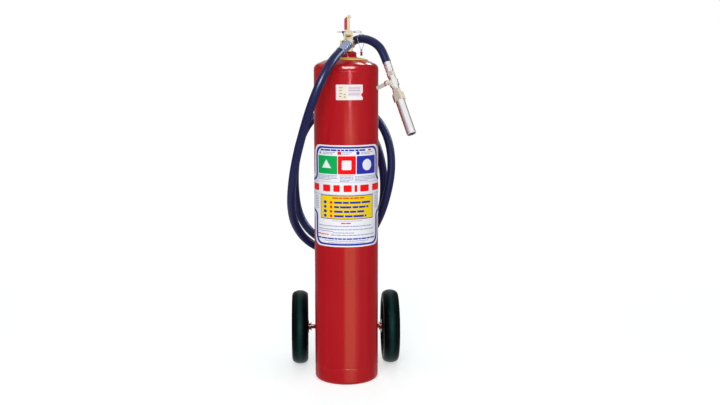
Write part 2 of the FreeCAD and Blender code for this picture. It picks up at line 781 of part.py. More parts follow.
def build_bonnet():
    """Screwed bonnet with the fork that carries the lever and guides the stem."""
    x = stem_offset
    spigot_radius = cavity_diameter / 2 - thread_gap
    spigot = cylinder((x, 0, chamber_high - bonnet_spigot), UP, spigot_radius, bonnet_spigot)
    cap = cylinder((x, 0, chamber_high), UP, bonnet_diameter / 2, bonnet_height)
    bonnet = spigot.fuse(cap)
    outer = bonnet_diameter / 2
    ears = []
    for side in (-1, 1):
        x0 = x + side * outer if side < 0 else x + outer - ear_thickness
        a = math.radians(30)
        rise = ear_top_radius
        start = Vector(x0, -ear_half_depth, chamber_high)
        lean = Vector(x0, -rise * math.cos(a), pivot_z + rise * math.sin(a))
        over = Vector(x0, rise * math.cos(a), pivot_z + rise * math.sin(a))
        steps = [Vector(x0, -ear_half_depth, pivot_z), lean, (Vector(x0, 0, pivot_z + rise), over),
                 Vector(x0, ear_half_depth, pivot_z), Vector(x0, ear_half_depth, chamber_high)]
        ears.append(face_of(start, steps).extrude(Vector(ear_thickness, 0, 0)))
    bonnet = bonnet.fuse(ears)
    tappet_low = pivot_z - cam_radius - tappet_thickness - stem_travel - seat_gap
    width = bonnet_diameter + 2
    far = x - width / 2
    bonnet = bonnet.cut(cylinder((x, 0, chamber_high - bonnet_spigot), UP, stem_diameter / 2 + run_gap,
                                 bonnet_spigot + bonnet_height))
    bonnet = bonnet.cut(cylinder((x, 0, tappet_low), UP, tappet_diameter / 2 + seat_gap, bonnet_height * 3))
    slot = lever_hub_width / 2 + seat_gap
    sweep = cam_radius + stem_travel + 2.5
    relief = cylinder((x - slot, 0, pivot_z), RIGHT, sweep, 2 * slot)
    bonnet = bonnet.cut(relief)
    bonnet = bonnet.cut(cylinder((far, 0, pivot_z), RIGHT, pivot_pin_diameter / 2 + run_gap, width))
    pin_hole = safety_pin_diameter / 2 + safety_pin_clearance
    bonnet = bonnet.cut(cylinder((far, 0, pin_z), RIGHT, pin_hole, width))
    save("bonnet", bonnet.removeSplitter())


def build_stem(retainer_low):
    """Poppet stem: the lever pushes it down off its seat, and the spring closes it again."""
    x = stem_offset
    seal_top = seat_face() - skin_gap
    poppet_top = seal_top - stem_seal_thickness
    poppet_low = poppet_top - poppet_thickness
    tappet_top = pivot_z - cam_radius
    rod = cylinder((x, 0, poppet_low), UP, stem_diameter / 2, tappet_top - poppet_low)
    tappet = cylinder((x, 0, tappet_top - tappet_thickness), UP, tappet_diameter / 2, tappet_thickness)
    poppet = cylinder((x, 0, poppet_low), UP, poppet_diameter / 2, poppet_thickness)
    save("stem", rod.fuse([tappet, poppet]).removeSplitter())
    save("stem_seal", tube((x, 0, poppet_top), UP, poppet_diameter / 2 - 0.5, stem_diameter / 2 + skin_gap,
                           stem_seal_thickness))
    retainer_top = retainer_low + retainer_thickness
    retainer = tube((x, 0, retainer_low), UP, inlet_bore_diameter / 2 - thread_gap, retainer_hole / 2,
                    retainer_thickness)
    save("spring_retainer", retainer)
    low = retainer_top + skin_gap + spring_wire / 2
    high = poppet_low - skin_gap - spring_wire / 2
    helix = Part.makeHelix((high - low) / spring_turns, high - low, spring_diameter / 2)
    helix.translate(Vector(x, 0, low))
    start = Vector(x + spring_diameter / 2, 0, low)
    section = Part.Wire(Part.makeCircle(spring_wire / 2, start, BACK))
    save("stem_spring", Part.Wire(helix.Edges).makePipeShell([section], True, True))


def cam_point(angle):
    """Point of the cam under the lever, whose reach grows evenly with the angle."""
    growth = stem_travel / math.radians(lever_angle)
    reach = cam_radius - seat_gap + growth * angle
    y = -reach * math.sin(angle) - growth * math.cos(angle)
    z = -reach * math.cos(angle) + growth * math.sin(angle)
    return Vector(0, y, z)


def build_lever():
    """Lever with its cam: swung forward it presses the stem's tappet down in an even stroke."""
    steps_count = 8
    angles = [math.radians(lever_angle) * i / steps_count for i in range(steps_count + 1)]
    curve = Part.BSplineCurve()
    curve.interpolate([cam_point(a) for a in angles])
    low = cam_radius - seat_gap
    back = Vector(0, low, 0)
    under = Vector(0, 0, -low)
    first = cam_point(0)
    last = cam_point(angles[-1])
    edges = [Part.LineSegment(under, first).toShape(), curve.toShape()]
    heel = Vector(0, low * math.sqrt(0.5), -low * math.sqrt(0.5))
    steps = [Vector(0, -web_half_depth, web_top - 4), Vector(0, -web_half_depth, web_top),
             Vector(0, web_half_depth, web_top), back, (heel, under)]
    edges += edges_of(last, steps)
    hub = Part.Face(Part.Wire(edges)).extrude(Vector(lever_hub_width, 0, 0))
    hub.translate(Vector(stem_offset - lever_hub_width / 2, 0, pivot_z))
    bar_x = stem_offset - bar_width / 2
    bar_low = pivot_z + web_top - 1
    bar_high = bar_low + bar_length
    bar = box(bar_x, bar_x + bar_width, -web_half_depth, web_half_depth, bar_low, bar_high)
    corners = [e for e in bar.Edges if abs(e.tangentAt(0).z) > 0.9]
    bar = bar.makeFillet(1.5, corners)
    eye_x = bar_x + bar_width - eye_radius + eye_shift
    eye_z = bar_high + eye_radius * 0.8
    eye = cylinder((eye_x, -web_half_depth, eye_z), BACK, eye_radius, 2 * web_half_depth)
    lever = hub.fuse([bar, eye])
    lever = lever.cut(cylinder((eye_x, -web_half_depth, eye_z), BACK, eye_hole_radius, 2 * web_half_depth))
    wide = lever_hub_width + 2
    far = stem_offset - wide / 2
    lever = lever.cut(cylinder((far, 0, pivot_z), RIGHT, pivot_pin_diameter / 2 + run_gap, wide))
    half_slot = safety_pin_diameter / 2 + safety_slot_gap
    slot = tube((far, 0, pivot_z), RIGHT, safety_pin_rise + half_slot, safety_pin_rise - half_slot, wide)
    slot = slot.common(box(far, far + wide, 0, 30, pivot_z - 1, pivot_z + 30))
    slot = slot.fuse(cylinder((far, 0, pin_z), RIGHT, half_slot, wide))
    save("lever", lever.cut(slot).removeSplitter())
    grip_low = bar_low + 3
    grip_high = grip_low + lever_grip_length
    x0 = bar_x - grip_clearance - grip_side
    x1 = bar_x - grip_clearance
    y_back = web_half_depth + grip_clearance
    y_front = -web_half_depth - 1
    bar_right = bar_x + bar_width
    outline = [Vector(x0, y_front, 0), Vector(x1, y_front, 0), Vector(x1, y_back, 0),
               Vector(bar_right, y_back, 0), Vector(bar_right, y_back + grip_back, 0),
               Vector(x0, y_back + grip_back, 0)]
    grip = face_of(outline[0], outline[1:]).extrude(Vector(0, 0, lever_grip_length))
    grip.translate(Vector(0, 0, grip_low))
    rounds = [e for e in grip.Edges if abs(e.tangentAt(0).z) > 0.9 and e.CenterOfMass.x < x0 + 1]
    grip = grip.makeFillet(2.5, rounds)
    wedge = [Vector(x0 - 1, -20, grip_high - grip_chamfer - 1), Vector(x0 + grip_chamfer, -20, grip_high + 1),
             Vector(x0 - 1, -20, grip_high + 1)]
    grip = grip.cut(face_of(wedge[0], wedge[1:]).extrude(Vector(0, 60, 0)))
    save("lever_grip", grip)
    left = stem_offset - bonnet_diameter / 2
    pin = cylinder((left - seat_gap, 0, pivot_z), RIGHT, pivot_pin_diameter / 2, bonnet_diameter + 2)
    head_radius = pivot_pin_diameter / 2 + 1.5
    head = cylinder((left - seat_gap - pivot_pin_head, 0, pivot_z), RIGHT, head_radius, pivot_pin_head)
    save("lever_pin", pin.fuse(head).removeSplitter())


def build_safety_pin():
    """Locking pin through the fork, its pull ring, and the seal on its tail."""
    left = stem_offset - bonnet_diameter / 2
    right = stem_offset + bonnet_diameter / 2
    start = left - safety_pin_tail
    eye_x = right + eye_disc_radius + 0.6
    pin = cylinder((start, 0, pin_z), RIGHT, safety_pin_diameter / 2, eye_x - 2 - start)
    disc = cylinder((eye_x, -eye_disc_thickness / 2, pin_z), BACK, eye_disc_radius, eye_disc_thickness)
    hole_radius = pull_ring_wire / 2 + 0.8
    hole = cylinder((eye_x, -eye_disc_thickness, pin_z), BACK, hole_radius, 2 * eye_disc_thickness)
    save("safety_pin", pin.fuse(disc).cut(hole).removeSplitter())
    tilt = math.radians(pull_ring_tilt)
    normal = Vector(0, -math.sin(tilt), math.cos(tilt))
    centre = Vector(eye_x + pull_ring_radius, 0, pin_z)
    save("pull_ring", Part.makeTorus(pull_ring_radius, pull_ring_wire / 2, centre, normal))
    bead_x = left - seat_gap - seal_bead_length
    bead = cylinder((bead_x, 0, pin_z), RIGHT, seal_bead_radius, seal_bead_length)
    strap = box(bead_x, bead_x + seal_tag_thickness, -ear_half_depth - 2, 0, pin_z - 1.5, pin_z + 1.5)
    tag_back = -ear_half_depth - 2
    tag = box(bead_x, bead_x + seal_bead_length + 1, tag_back - seal_tag_thickness, tag_back,
              pin_z + 1 - seal_tag_height, pin_z + 1)
    seal = bead.fuse([strap, tag])
    seal = seal.cut(cylinder((bead_x, 0, pin_z), RIGHT, safety_pin_diameter / 2 + seat_gap, seal_bead_length))
    save("tamper_seal", seal.removeSplitter())


def build_burst_plug():
    wall = stem_offset - chamber_diameter / 2
    head = chamfered_hexagon((wall - skin_gap, 0, outlet_z), -RIGHT, plug_across_flats, plug_head)
    shank = cylinder((wall - skin_gap - 1, 0, outlet_z), RIGHT, plug_shank_diameter / 2, plug_shank + 1)
    vent = cylinder((wall - 40, 0, outlet_z), RIGHT, 1.5, 60)
    save("burst_plug", head.fuse(shank).cut(vent).removeSplitter())


# Hose and its fittings

def hose_start():
    """First point of the hose and the direction in which it leaves its ferrule."""
    first, second = hose_path[:2]
    return first, (second - first).normalize()


def build_outlet():
    """Union nut, elbow ball and the crimped ferrule that runs down to the left."""
    first, along = hose_start()
    x = stem_offset + outlet_offset
    ball = Vector(x, -elbow_reach, outlet_z)
    nut_start = -outlet_boss_end - skin_gap
    nut = chamfered_hexagon((x, nut_start, outlet_z), -BACK, elbow_nut_across_flats, elbow_nut_length, 30)
    arm = cylinder((x, nut_start, outlet_z), -BACK, outlet_bore_diameter / 2 + 4, elbow_reach + nut_start)
    knuckle = Part.makeSphere(elbow_ball_radius, ball)
    start = ball + along * (elbow_ball_radius * 0.55)
    knuckle = knuckle.cut(cylinder(start, along, 2 * elbow_ball_radius, 2 * elbow_ball_radius))
    elbow = nut.fuse([arm, knuckle])
    bore = outlet_bore_diameter / 2
    elbow = elbow.cut(cylinder((x, nut_start, outlet_z), -BACK, bore, elbow_reach + nut_start))
    elbow = elbow.cut(cylinder(ball, along, bore, 2 * elbow_ball_radius)).cut(Part.makeSphere(bore, ball))
    save("outlet_elbow", elbow.removeSplitter())
    length = (first - start).Length - 2 * skin_gap
    outer = ferrule_diameter / 2
    profile = [(ferrule_bore / 2, 0), (outer - 2, 0), (outer, 2)]
    pitch = (length - 12) / ferrule_rings
    for i in range(ferrule_rings):
        z = 6 + pitch * (i + 0.5)
        profile += [(outer, z - pitch / 4), (outer - ferrule_ring_depth, z - pitch / 5),
                    (outer - ferrule_ring_depth, z + pitch / 5), (outer, z + pitch / 4)]
    profile += [(outer, length - 1), (outer - 1, length), (ferrule_bore / 2, length)]
    turn = FreeCAD.Rotation(UP, along)
    save("valve_ferrule", lathe(profile, start + along * skin_gap, turn))


def rounded_path(points, share=0.45):
    """Straight runs joined by tangent arcs, each as large as its two runs allow."""
    edges = []
    radii = []
    here = points[0]
    for before, corner, after in zip(points, points[1:], points[2:]):
        into = (corner - before).normalize()
        out = (after - corner).normalize()
        reach = share * min((corner - before).Length, (after - corner).Length)
        turn = into.getAngle(out)
        radius = reach / math.tan(turn / 2)
        radii.append(radius)
        start = corner - into * reach
        end = corner + out * reach
        inward = (out - into).normalize()
        middle = corner + inward * (radius / math.cos(turn / 2) - radius)
        edges.append(Part.LineSegment(here, start).toShape())
        edges.append(Part.Arc(start, middle, end).toShape())
        here = end
    edges.append(Part.LineSegment(here, points[-1]).toShape())
    return Part.Wire(edges), radii


def build_hose():
    path, radii = rounded_path(hose_path)
    section = Part.Wire(Part.makeCircle(hose_radius, hose_path[0], hose_path[1] - hose_path[0]))
    hose = path.makePipeShell([section], True, False)
    save("hose", hose)
    expected = math.pi * hose_radius ** 2 * path.Length
    print("hose length", round(path.Length), "volume ratio", round(hose.Volume / expected, 5))
    print("hose radii", [round(r) for r in radii], "smallest", round(min(radii)))


def nozzle_frame():
    """Placement at the end of the hose: z along the flow, x along the ball valve's stem."""
    before, end = hose_path[-2:]
    flow = (end - before).normalize()
    lean = Vector(-0.79, -0.61, 0)
    stem = (lean - flow * lean.dot(flow)).normalize()
    across = flow.cross(stem)
    return FreeCAD.Placement(end, FreeCAD.Rotation(stem, across, flow, "ZXY"))


def place(shape, frame):
    moved = shape.copy()
    moved.Placement = frame.multiply(moved.Placement)
    return moved


def build_nozzle():
    """Hose tail, ball valve and straight nozzle, modelled along one axis and then placed."""
    frame = nozzle_frame()
    bore = flow_bore / 2
    z1 = tail_length
    z2 = z1 + coupling_length
    z3 = z2 + valve_body_length
    z4 = z3 + adapter_length
    z5 = z4 + nozzle_hex_length
    outer = tail_diameter / 2
    tail = [(bore, 0), (outer - 1, 0), (outer, 1), (outer, 8), (outer - 1, 9), (outer - 1, 12), (outer, 13),
            (outer, 21), (outer - 1, 22), (outer - 1, 25), (outer, 26), (outer, z1 - 6), (outer - 3, z1),
            (bore, z1)]
    save("hose_tail", place(lathe(tail), frame))
    nut = chamfered_hexagon((0, 0, z1), UP, coupling_across_flats, coupling_length)
    save("coupling_nut", place(nut.cut(cylinder((0, 0, z1), UP, bore, coupling_length)), frame))
    build_ball_valve(frame, z2, z3)
    nut = chamfered_hexagon((0, 0, z3), UP, coupling_across_flats, adapter_length)
    save("adapter_nut", place(nut.cut(cylinder((0, 0, z3), UP, bore, adapter_length)), frame))
    hexagon_body = chamfered_hexagon((0, 0, z4), UP, nozzle_hex_across_flats, nozzle_hex_length)
    tube_start = z5 - nozzle_tube_entry
    seat = nozzle_tube_diameter / 2 + thread_gap
    throat = [(0, z4), (bore, z4), (jet_bore / 2, z4 + 8), (jet_bore / 2, tube_start), (seat, tube_start),
              (seat, z5), (0, z5)]
    save("nozzle_body", place(hexagon_body.cut(lathe(throat)), frame))
    radius = nozzle_tube_diameter / 2
    inner = radius - nozzle_tube_wall
    end = tube_start + nozzle_tube_length
    barrel = [(inner, tube_start), (radius, tube_start), (radius, end - 0.6), (radius - 0.6, end),
              (inner + 0.6, end), (inner, end - 0.6)]
    save("nozzle_tube", place(lathe(barrel), frame))
    mouth = frame.multVec(Vector(0, 0, end))
    flow = frame.Rotation.multVec(UP)
    stem = frame.Rotation.multVec(RIGHT)
    centre = frame.multVec(Vector(0, 0, (z2 + z3) / 2))
    print("nozzle mouth", mouth, "flow", flow, "stem", stem, "ball centre", centre)


def build_ball_valve(frame, low, high):
    """Ball valve, closed: the handle lies across the flow and the ball's bore with it."""
    middle = (low + high) / 2
    end_r = valve_end_diameter / 2
    mid_r = valve_middle_diameter / 2
    bore = flow_bore / 2
    g = valve_groove
    shoulder_low = low + valve_end_length
    shoulder_high = high - valve_end_length
    outline = [(0, low), (end_r - 1, low), (end_r, low + 1), (end_r, low + 4), (end_r - g, low + 5),
               (end_r - g, low + 7), (end_r, low + 8), (end_r, shoulder_low), (mid_r, shoulder_low + 4),
               (mid_r, shoulder_high - 4), (end_r, shoulder_high), (end_r, high - 8), (end_r - g, high - 7),
               (end_r - g, high - 5), (end_r, high - 4), (end_r, high - 1), (end_r - 1, high), (0, high)]
    body = lathe(outline)
    boss = cylinder((0, 0, middle), RIGHT, stem_boss_diameter / 2, stem_boss_end)
    body = body.fuse(boss)
    cavity = ball_radius + ball_gap
    body = body.cut(Part.makeSphere(cavity, Vector(0, 0, middle)))
    body = body.cut(cylinder((0, 0, low), UP, bore, high - low))
    stem_r = ball_stem_diameter / 2
    body = body.cut(cylinder((0, 0, middle), RIGHT, stem_r + run_gap, stem_boss_end))
    ring_seat = bore + seat_ring_width
    for end in (-1, 1):
        seat_z = middle + end * (ball_radius - 1.5)
        body = body.cut(cylinder((0, 0, seat_z - 2), UP, ring_seat + skin_gap, 4))
    save("ball_valve_body", place(body.removeSplitter(), frame))
    seats = []
    for end in (-1, 1):
        seat_z = middle + end * (ball_radius - 1.5)
        ring = tube((0, 0, seat_z - 2 + skin_gap), UP, ring_seat, bore, 4 - 2 * skin_gap)
        seats.append(ring.cut(Part.makeSphere(ball_radius + 0.3, Vector(0, 0, middle))))
    save("ball_seats", place(Part.makeCompound(seats), frame))
    ball = Part.makeSphere(ball_radius, Vector(0, 0, middle))
    ball = ball.cut(cylinder((0, -2 * ball_radius, middle), BACK, ball_bore / 2, 4 * ball_radius))
    tang_low = ball_radius - 3.2
    tang = box(tang_low - 1, 2 * ball_radius, -2.2, 2.2, middle - 6, middle + 6)
    save("ball", place(ball.cut(tang), frame))
    stem_end = stem_boss_end + packing_height + lever_plate + lever_nut_height + 2.5
    stem = cylinder((ball_radius + 0.4, 0, middle), RIGHT, stem_r, stem_end - ball_radius - 0.4)
    key = box(tang_low, ball_radius + 1, -2.0, 2.0, middle - 3.4, middle + 3.4)
    save("ball_stem", place(stem.fuse(key).removeSplitter(), frame))
    nut_low = stem_boss_end + skin_gap
    packing = chamfered_hexagon((nut_low, 0, middle), RIGHT, packing_across_flats, packing_height - skin_gap)
    packing = packing.cut(cylinder((nut_low, 0, middle), RIGHT, stem_r + run_gap, packing_height))
    save("packing_nut", place(packing, frame))
    plate_low = stem_boss_end + packing_height + seat_gap
    build_ball_lever(frame, middle, plate_low, stem_r)
    nut_start = plate_low + lever_plate + skin_gap
    nut = chamfered_hexagon((nut_start, 0, middle), RIGHT, lever_nut_across_flats, lever_nut_height)
    save("lever_nut", place(nut.cut(cylinder((nut_start, 0, middle), RIGHT, stem_r + skin_gap / 2,
                                             lever_nut_height)), frame))


def build_ball_lever(frame, middle, plate_low, stem_r):
    """Cranked strip handle: a flat round the stem, then an arm bent away from the valve."""
    crank = math.radians(lever_crank)
    t = lever_plate
    half = lever_plate_width / 2
    reach = lever_arm * math.cos(crank)
    lift = lever_arm * math.sin(crank)
    slip = t * math.tan(crank / 2)
    side = [Vector(plate_low, 0, 0), Vector(plate_low, lever_flat + slip, 0),
            Vector(plate_low + lift, lever_flat + slip + reach, 0),
            Vector(plate_low + lift + t * math.cos(crank),
                   lever_flat + slip + reach - t * math.sin(crank), 0),
            Vector(plate_low + t, lever_flat, 0), Vector(plate_low + t, 0, 0)]
    strip = face_of(side[0], side[1:]).extrude(Vector(0, 0, lever_plate_width))
    strip.translate(Vector(0, 0, middle - half))
    far_end = lever_flat + slip + reach - t
    tip = [e for e in strip.Edges if e.CenterOfMass.y > far_end and abs(e.tangentAt(0).z) < 0.5
           and abs(e.CenterOfMass.z - middle) > half - 0.1 and e.Length < t + 0.1]
    strip = strip.makeFillet(half * 0.7, tip)
    hub = cylinder((plate_low, 0, middle), RIGHT, lever_hub_radius, t)
    lever = strip.fuse(hub).cut(cylinder((plate_low, 0, middle), RIGHT, stem_r + skin_gap / 2, t))
    save("ball_lever", place(lever.removeSplitter(), frame))


def build_tag():
    """Wire loop round the hose at the top of its arch, with a lead seal and a tag below."""
    low, high = hose_path[41:43]
    centre = between(low, high, 0.5)
    along = (high - low).normalize()
    side = along.cross(UP)
    r = hose_radius + loop_gap + loop_wire / 2
    f = loop_foot_radius

    def at(across, height):
        return centre + side * across + UP * height

    start = at(-r, 0)
    steps = [(at(0, r), at(r, 0)), at(f, -loop_drop), (at(0, -loop_drop - f), at(-f, -loop_drop)), start]
    path = Part.Wire(edges_of(start, steps))
    first_direction = path.Edges[0].tangentAt(path.Edges[0].FirstParameter)
    section = Part.Wire(Part.makeCircle(loop_wire / 2, start, first_direction))
    loop = path.makePipeShell([section], True, False)
    foot = -loop_drop - f
    seal = Part.makeSphere(lead_seal_radius, at(0, foot - lead_seal_radius + loop_wire / 4))
    save("wire_loop", loop.fuse(seal))
    tag_top = foot - 2 * lead_seal_radius + loop_wire / 4 - skin_gap
    top = at(0, tag_top)
    tag = cylinder(top - UP * tag_length, UP, tag_radius, tag_length)
    tag = tag.makeFillet(1.2, [e for e in tag.Edges if e.Curve.TypeId == "Part::GeomCircle"])
    save("red_tag", tag)
    print("tag loop", centre, "axis", along)


def main():
    os.makedirs("parts", exist_ok=True)
    build_cylinder()
    build_service_collar()
    build_wheel("left", -1)
    build_wheel("right", 1)
    build_axle()
    build_carriage()
    build_handle()
    build_saddle()
    build_hose_guide()
    build_valve_body()
    build_bonnet()
    build_stem(build_dip_tube())
    build_lever()
    build_safety_pin()
    build_burst_plug()
    build_outlet()
    build_hose()
    build_nozzle()
    build_tag()
    print("top of the lever's bar", pivot_z + web_top + bar_length, "pivot", pivot_z, "pin", pin_z)


main()
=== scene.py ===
"""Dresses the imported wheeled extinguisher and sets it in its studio."""

import json
import math
import random

import bpy
from mathutils import Matrix, Vector

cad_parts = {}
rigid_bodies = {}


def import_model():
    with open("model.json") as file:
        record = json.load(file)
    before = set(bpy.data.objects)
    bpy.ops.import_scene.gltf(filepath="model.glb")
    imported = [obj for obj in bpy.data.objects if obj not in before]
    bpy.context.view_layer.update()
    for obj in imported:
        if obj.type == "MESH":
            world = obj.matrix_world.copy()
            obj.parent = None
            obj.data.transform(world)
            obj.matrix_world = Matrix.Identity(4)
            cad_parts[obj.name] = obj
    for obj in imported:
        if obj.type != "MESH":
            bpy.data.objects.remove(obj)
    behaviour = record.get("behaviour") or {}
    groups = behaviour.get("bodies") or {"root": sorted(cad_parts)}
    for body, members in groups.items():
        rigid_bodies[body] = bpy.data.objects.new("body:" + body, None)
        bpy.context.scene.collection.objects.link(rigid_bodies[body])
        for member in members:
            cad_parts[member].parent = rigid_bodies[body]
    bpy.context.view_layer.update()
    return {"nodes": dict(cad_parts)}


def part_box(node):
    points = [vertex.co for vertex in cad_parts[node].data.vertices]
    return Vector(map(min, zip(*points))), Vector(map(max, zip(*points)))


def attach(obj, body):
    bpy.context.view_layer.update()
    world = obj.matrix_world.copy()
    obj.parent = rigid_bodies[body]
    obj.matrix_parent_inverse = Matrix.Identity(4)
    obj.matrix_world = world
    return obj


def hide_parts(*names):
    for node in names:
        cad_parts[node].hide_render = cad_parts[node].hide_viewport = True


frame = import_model()

bl_info = {
    "name": "Wheeled extinguisher dresser",
    "version": (1, 0, 0),
    "blender": (4, 5, 0),
    "location": "View3D > Sidebar > Extinguisher",
    "description": "Paints, prints and details a wheeled extinguisher",
    "category": "Object",
}

MM = 0.001
UP = Vector((0.0, 0.0, 1.0))
RIGHT = Vector((1.0, 0.0, 0.0))

# Places that the CAD nodes give.
BARREL_LOW, BARREL_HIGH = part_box("barrel")
BARREL_RADIUS = (BARREL_HIGH.x - BARREL_LOW.x) / 2
BARREL_AXIS = (BARREL_LOW + BARREL_HIGH) / 2

# The hose's thickness and the way round it.
HOSE_DIAMETER = 0.030
HOSE_GIRTH = 0.0942

# The hose's control points, in millimetres from the cylinder's axis on the floor.
HOSE_ROUTE = (
    (-23, -106, 1186), (-40, -134, 1171), (-62, -165, 1142), (-84, -184, 1102),
    (-106, -188, 1054), (-130, -174, 990), (-157, -138, 900), (-182, -88, 800),
    (-197, -32, 700), (-200, 27, 620), (-188, 90, 550), (-148, 140, 483),
    (-78, 166, 440), (8, 168, 440), (82, 166, 483), (128, 163, 557),
    (160, 160, 655), (177, 160, 760), (165, 160, 860), (121, 160, 944),
    (44, 160, 988), (-44, 162, 988), (-121, 169, 944), (-167, 182, 866),
    (-187, 196, 770), (-190, 204, 675), (-178, 206, 579), (-135, 206, 505),
    (-61, 206, 462), (25, 206, 462), (99, 206, 505), (142, 206, 579),
    (151, 206, 680), (141, 207, 780), (110, 209, 868), (62, 210, 940),
    (14, 208, 1004), (-18, 193, 1062), (-26, 171, 1118), (-14, 150, 1170),
    (12, 118, 1210), (41, 76, 1232), (72, 26, 1232), (104, -13, 1217),
    (127.5, -41.7, 1189.5), (140.7, -61, 1149),
)


def linear(code):
    """The linear colour of an sRGB hex code."""
    shares = [int(code[i:i + 2], 16) / 255 for i in (0, 2, 4)]
    return tuple(c / 12.92 if c <= 0.04045 else ((c + 0.055) / 1.055) ** 2.4 for c in shares)


# ---------------------------------------------------------------- settings


def size(name, description, millimetres):
    """A length that the sidebar shows in the scene's units."""
    return bpy.props.FloatProperty(
        name=name, description=description, default=millimetres * MM, unit="LENGTH", precision=4)


def colour(name, description, code):
    """A colour that the sidebar shows as a swatch."""
    return bpy.props.FloatVectorProperty(
        name=name, description=description, default=linear(code), subtype="COLOR", min=0, max=1)


class StageSettings(bpy.types.PropertyGroup):
    """The studio: camera, lamps, floor and background."""

    camera_place: bpy.props.FloatVectorProperty(
        name="Camera", description="Where the camera stands",
        default=(-0.10625, -3.9045, 1.2), subtype="XYZ", unit="LENGTH")
    camera_turn: bpy.props.FloatVectorProperty(
        name="Camera turn", description="How the camera is turned",
        default=(math.radians(81.731), 0.0, math.radians(-2.346)), subtype="EULER")
    lens: bpy.props.FloatProperty(
        name="Lens", description="Focal length on a 36 mm sensor", default=53.195, unit="CAMERA")
    ambient: bpy.props.FloatProperty(
        name="Ambient light", description="Strength of the room's light on dull surfaces",
        default=0.46, min=0)
    floor: colour("Floor", "Colour of the paper floor", "d6dede")
    floor_glow: bpy.props.FloatProperty(
        name="Floor glow", description="What the paper adds so that it reads as white",
        default=0.51, min=0)


class PaintSettings(bpy.types.PropertyGroup):
    """Colours of the painted, plated and moulded surfaces."""

    enamel: colour("Cylinder enamel", "Stoved red enamel of the cylinder", "b5161f")
    collar: colour("Service collar", "Yellow moulded collar under the valve", "f4cf5c")
    brass: colour("Brass", "Cast and turned brass of the valve", "e8dcbb")
    nut: colour("Brass nuts", "Dulled brass of the nozzle's nuts", "e4dac9")
    nickel: colour("Nickel", "Bright nickel plate of the nozzle's valve", "efeee8")
    zinc: colour("Zinc", "Zinc-plated steel", "c4c8cc")
    aluminium: colour("Aluminium", "Drawn aluminium tube of the nozzle", "f0eff2")
    hose: colour("Hose", "Navy cover of the hose", "1a1b48")
    tyre: colour("Tyre", "Black solid tyre", "040506")
    # The crown colour is a painted highlight laid along the middle of the tyre's crown.
    crown_highlight: colour("Tyre crown", "Crown of the tyre, polished by the floor", "123232")
    wheel: colour("Wheel", "Black stoved enamel of the wheels", "121316")
    grip: colour("Lever grip", "Red grip of the discharge lever", "c01f3a")
    seal: colour("Seal", "Blue tamper seal", "2a3a86")


class GripSettings(bpy.types.PropertyGroup):
    """The ribbed rubber grip of the handle."""

    wall: size("Wall", "Thickness of the rubber between the ribs", 3.5)
    rib: size("Rib", "Height of a rib", 1.2)
    pitch: size("Pitch", "Distance from rib to rib", 6.0)


class LabelSettings(bpy.types.PropertyGroup):
    """Sizes and inks of the two printed labels."""

    thickness: size("Film", "Thickness of the label film", 0.25)
    film: colour("Film", "White vinyl film", "f6f6fb")
    blue: colour("Blue ink", "Border, third square and headings", "2a34ac")
    red: colour("Red ink", "Second square and bullets", "fb0d10")
    green: colour("Green ink", "First square", "00b159")
    yellow: colour("Yellow ink", "Panel with four rows", "fbd80a")
    orange: colour("Orange ink", "Heading of the panel", "f2571c")
    grey: colour("Grey ink", "Fine rows", "9aa0c8")
    lavender: colour("Lavender ink", "Band under the squares", "d9dbf3")
    rose: colour("Rose ink", "Block on the small label", "f3dfe3")
    cream: colour("Cream ink", "Column on the small label", "f2ecd8")
    tan: colour("Tan ink", "Fine marks on the small label", "b99a78")


# ---------------------------------------------------------------- tools


def deselect():
    """Leaves edit mode and selects nothing."""
    if bpy.context.object and bpy.context.object.mode != "OBJECT":
        bpy.ops.object.mode_set(mode="OBJECT")
    bpy.ops.object.select_all(action="DESELECT")


def take(piece):
    """Selects one piece alone and makes it active."""
    deselect()
    piece.select_set(True)
    bpy.context.view_layer.objects.active = piece


def node(tree, kind, settings=None, inputs=None):
    """Adds a node with its settings; an input takes a value or the socket that feeds it."""
    made = tree.nodes.new(kind)
    for name, value in (settings or {}).items():
        setattr(made, name, value)
    for name, value in (inputs or {}).items():
        if isinstance(value, bpy.types.NodeSocket):
            tree.links.new(value, made.inputs[name])
        else:
            made.inputs[name].default_value = value
    return made


def new_material(name, base, **constants):
    """A material whose constants sit on the Principled shader's own sockets."""
    material = bpy.data.materials.new(name)
    material.use_nodes = True
    tree = material.node_tree
    shader = tree.nodes["Principled BSDF"]
    shader.inputs["Base Color"].default_value = (*base, 1.0)
    for socket, value in constants.items():
        shader.inputs[socket.replace("_", " ")].default_value = value
    place = node(tree, "ShaderNodeTexCoord").outputs["Object"]
    return material, tree, shader, place


def maths(tree, operation, *values):
    """The result of a Math node; a value is a number or the socket that feeds it."""
    made = node(tree, "ShaderNodeMath", {"operation": operation}, dict(enumerate(values)))
    return made.outputs[0]


def mapped(tree, value, to_min, to_max, from_min=0.0, from_max=1.0, curve="LINEAR"):
    """A value taken from one range to another, straight or in a smooth step."""
    made = node(tree, "ShaderNodeMapRange", {"interpolation_type": curve},
                {"Value": value, "From Min": from_min, "From Max": from_max,
                 "To Min": to_min, "To Max": to_max})
    return made.outputs[0]


def noise(tree, place, scale, detail):
    """A cloudy pattern between 0 and 1 with that many cells to the metre."""
    made = node(tree, "ShaderNodeTexNoise", None,
                {"Vector": place, "Scale": scale, "Detail": detail})
    return made.outputs["Fac"]


def tint(tree, shader, factor, first, second):
    """Mixes two colours into the shader's colour."""
    # A Mix node keeps its colours in inputs 6 and 7 and its mixed colour in output 2.
    tone = node(tree, "ShaderNodeMix", {"data_type": "RGBA"},
                {"Factor": factor, 6: (*first, 1), 7: (*second, 1)})
    tree.links.new(tone.outputs[2], shader.inputs["Base Color"])


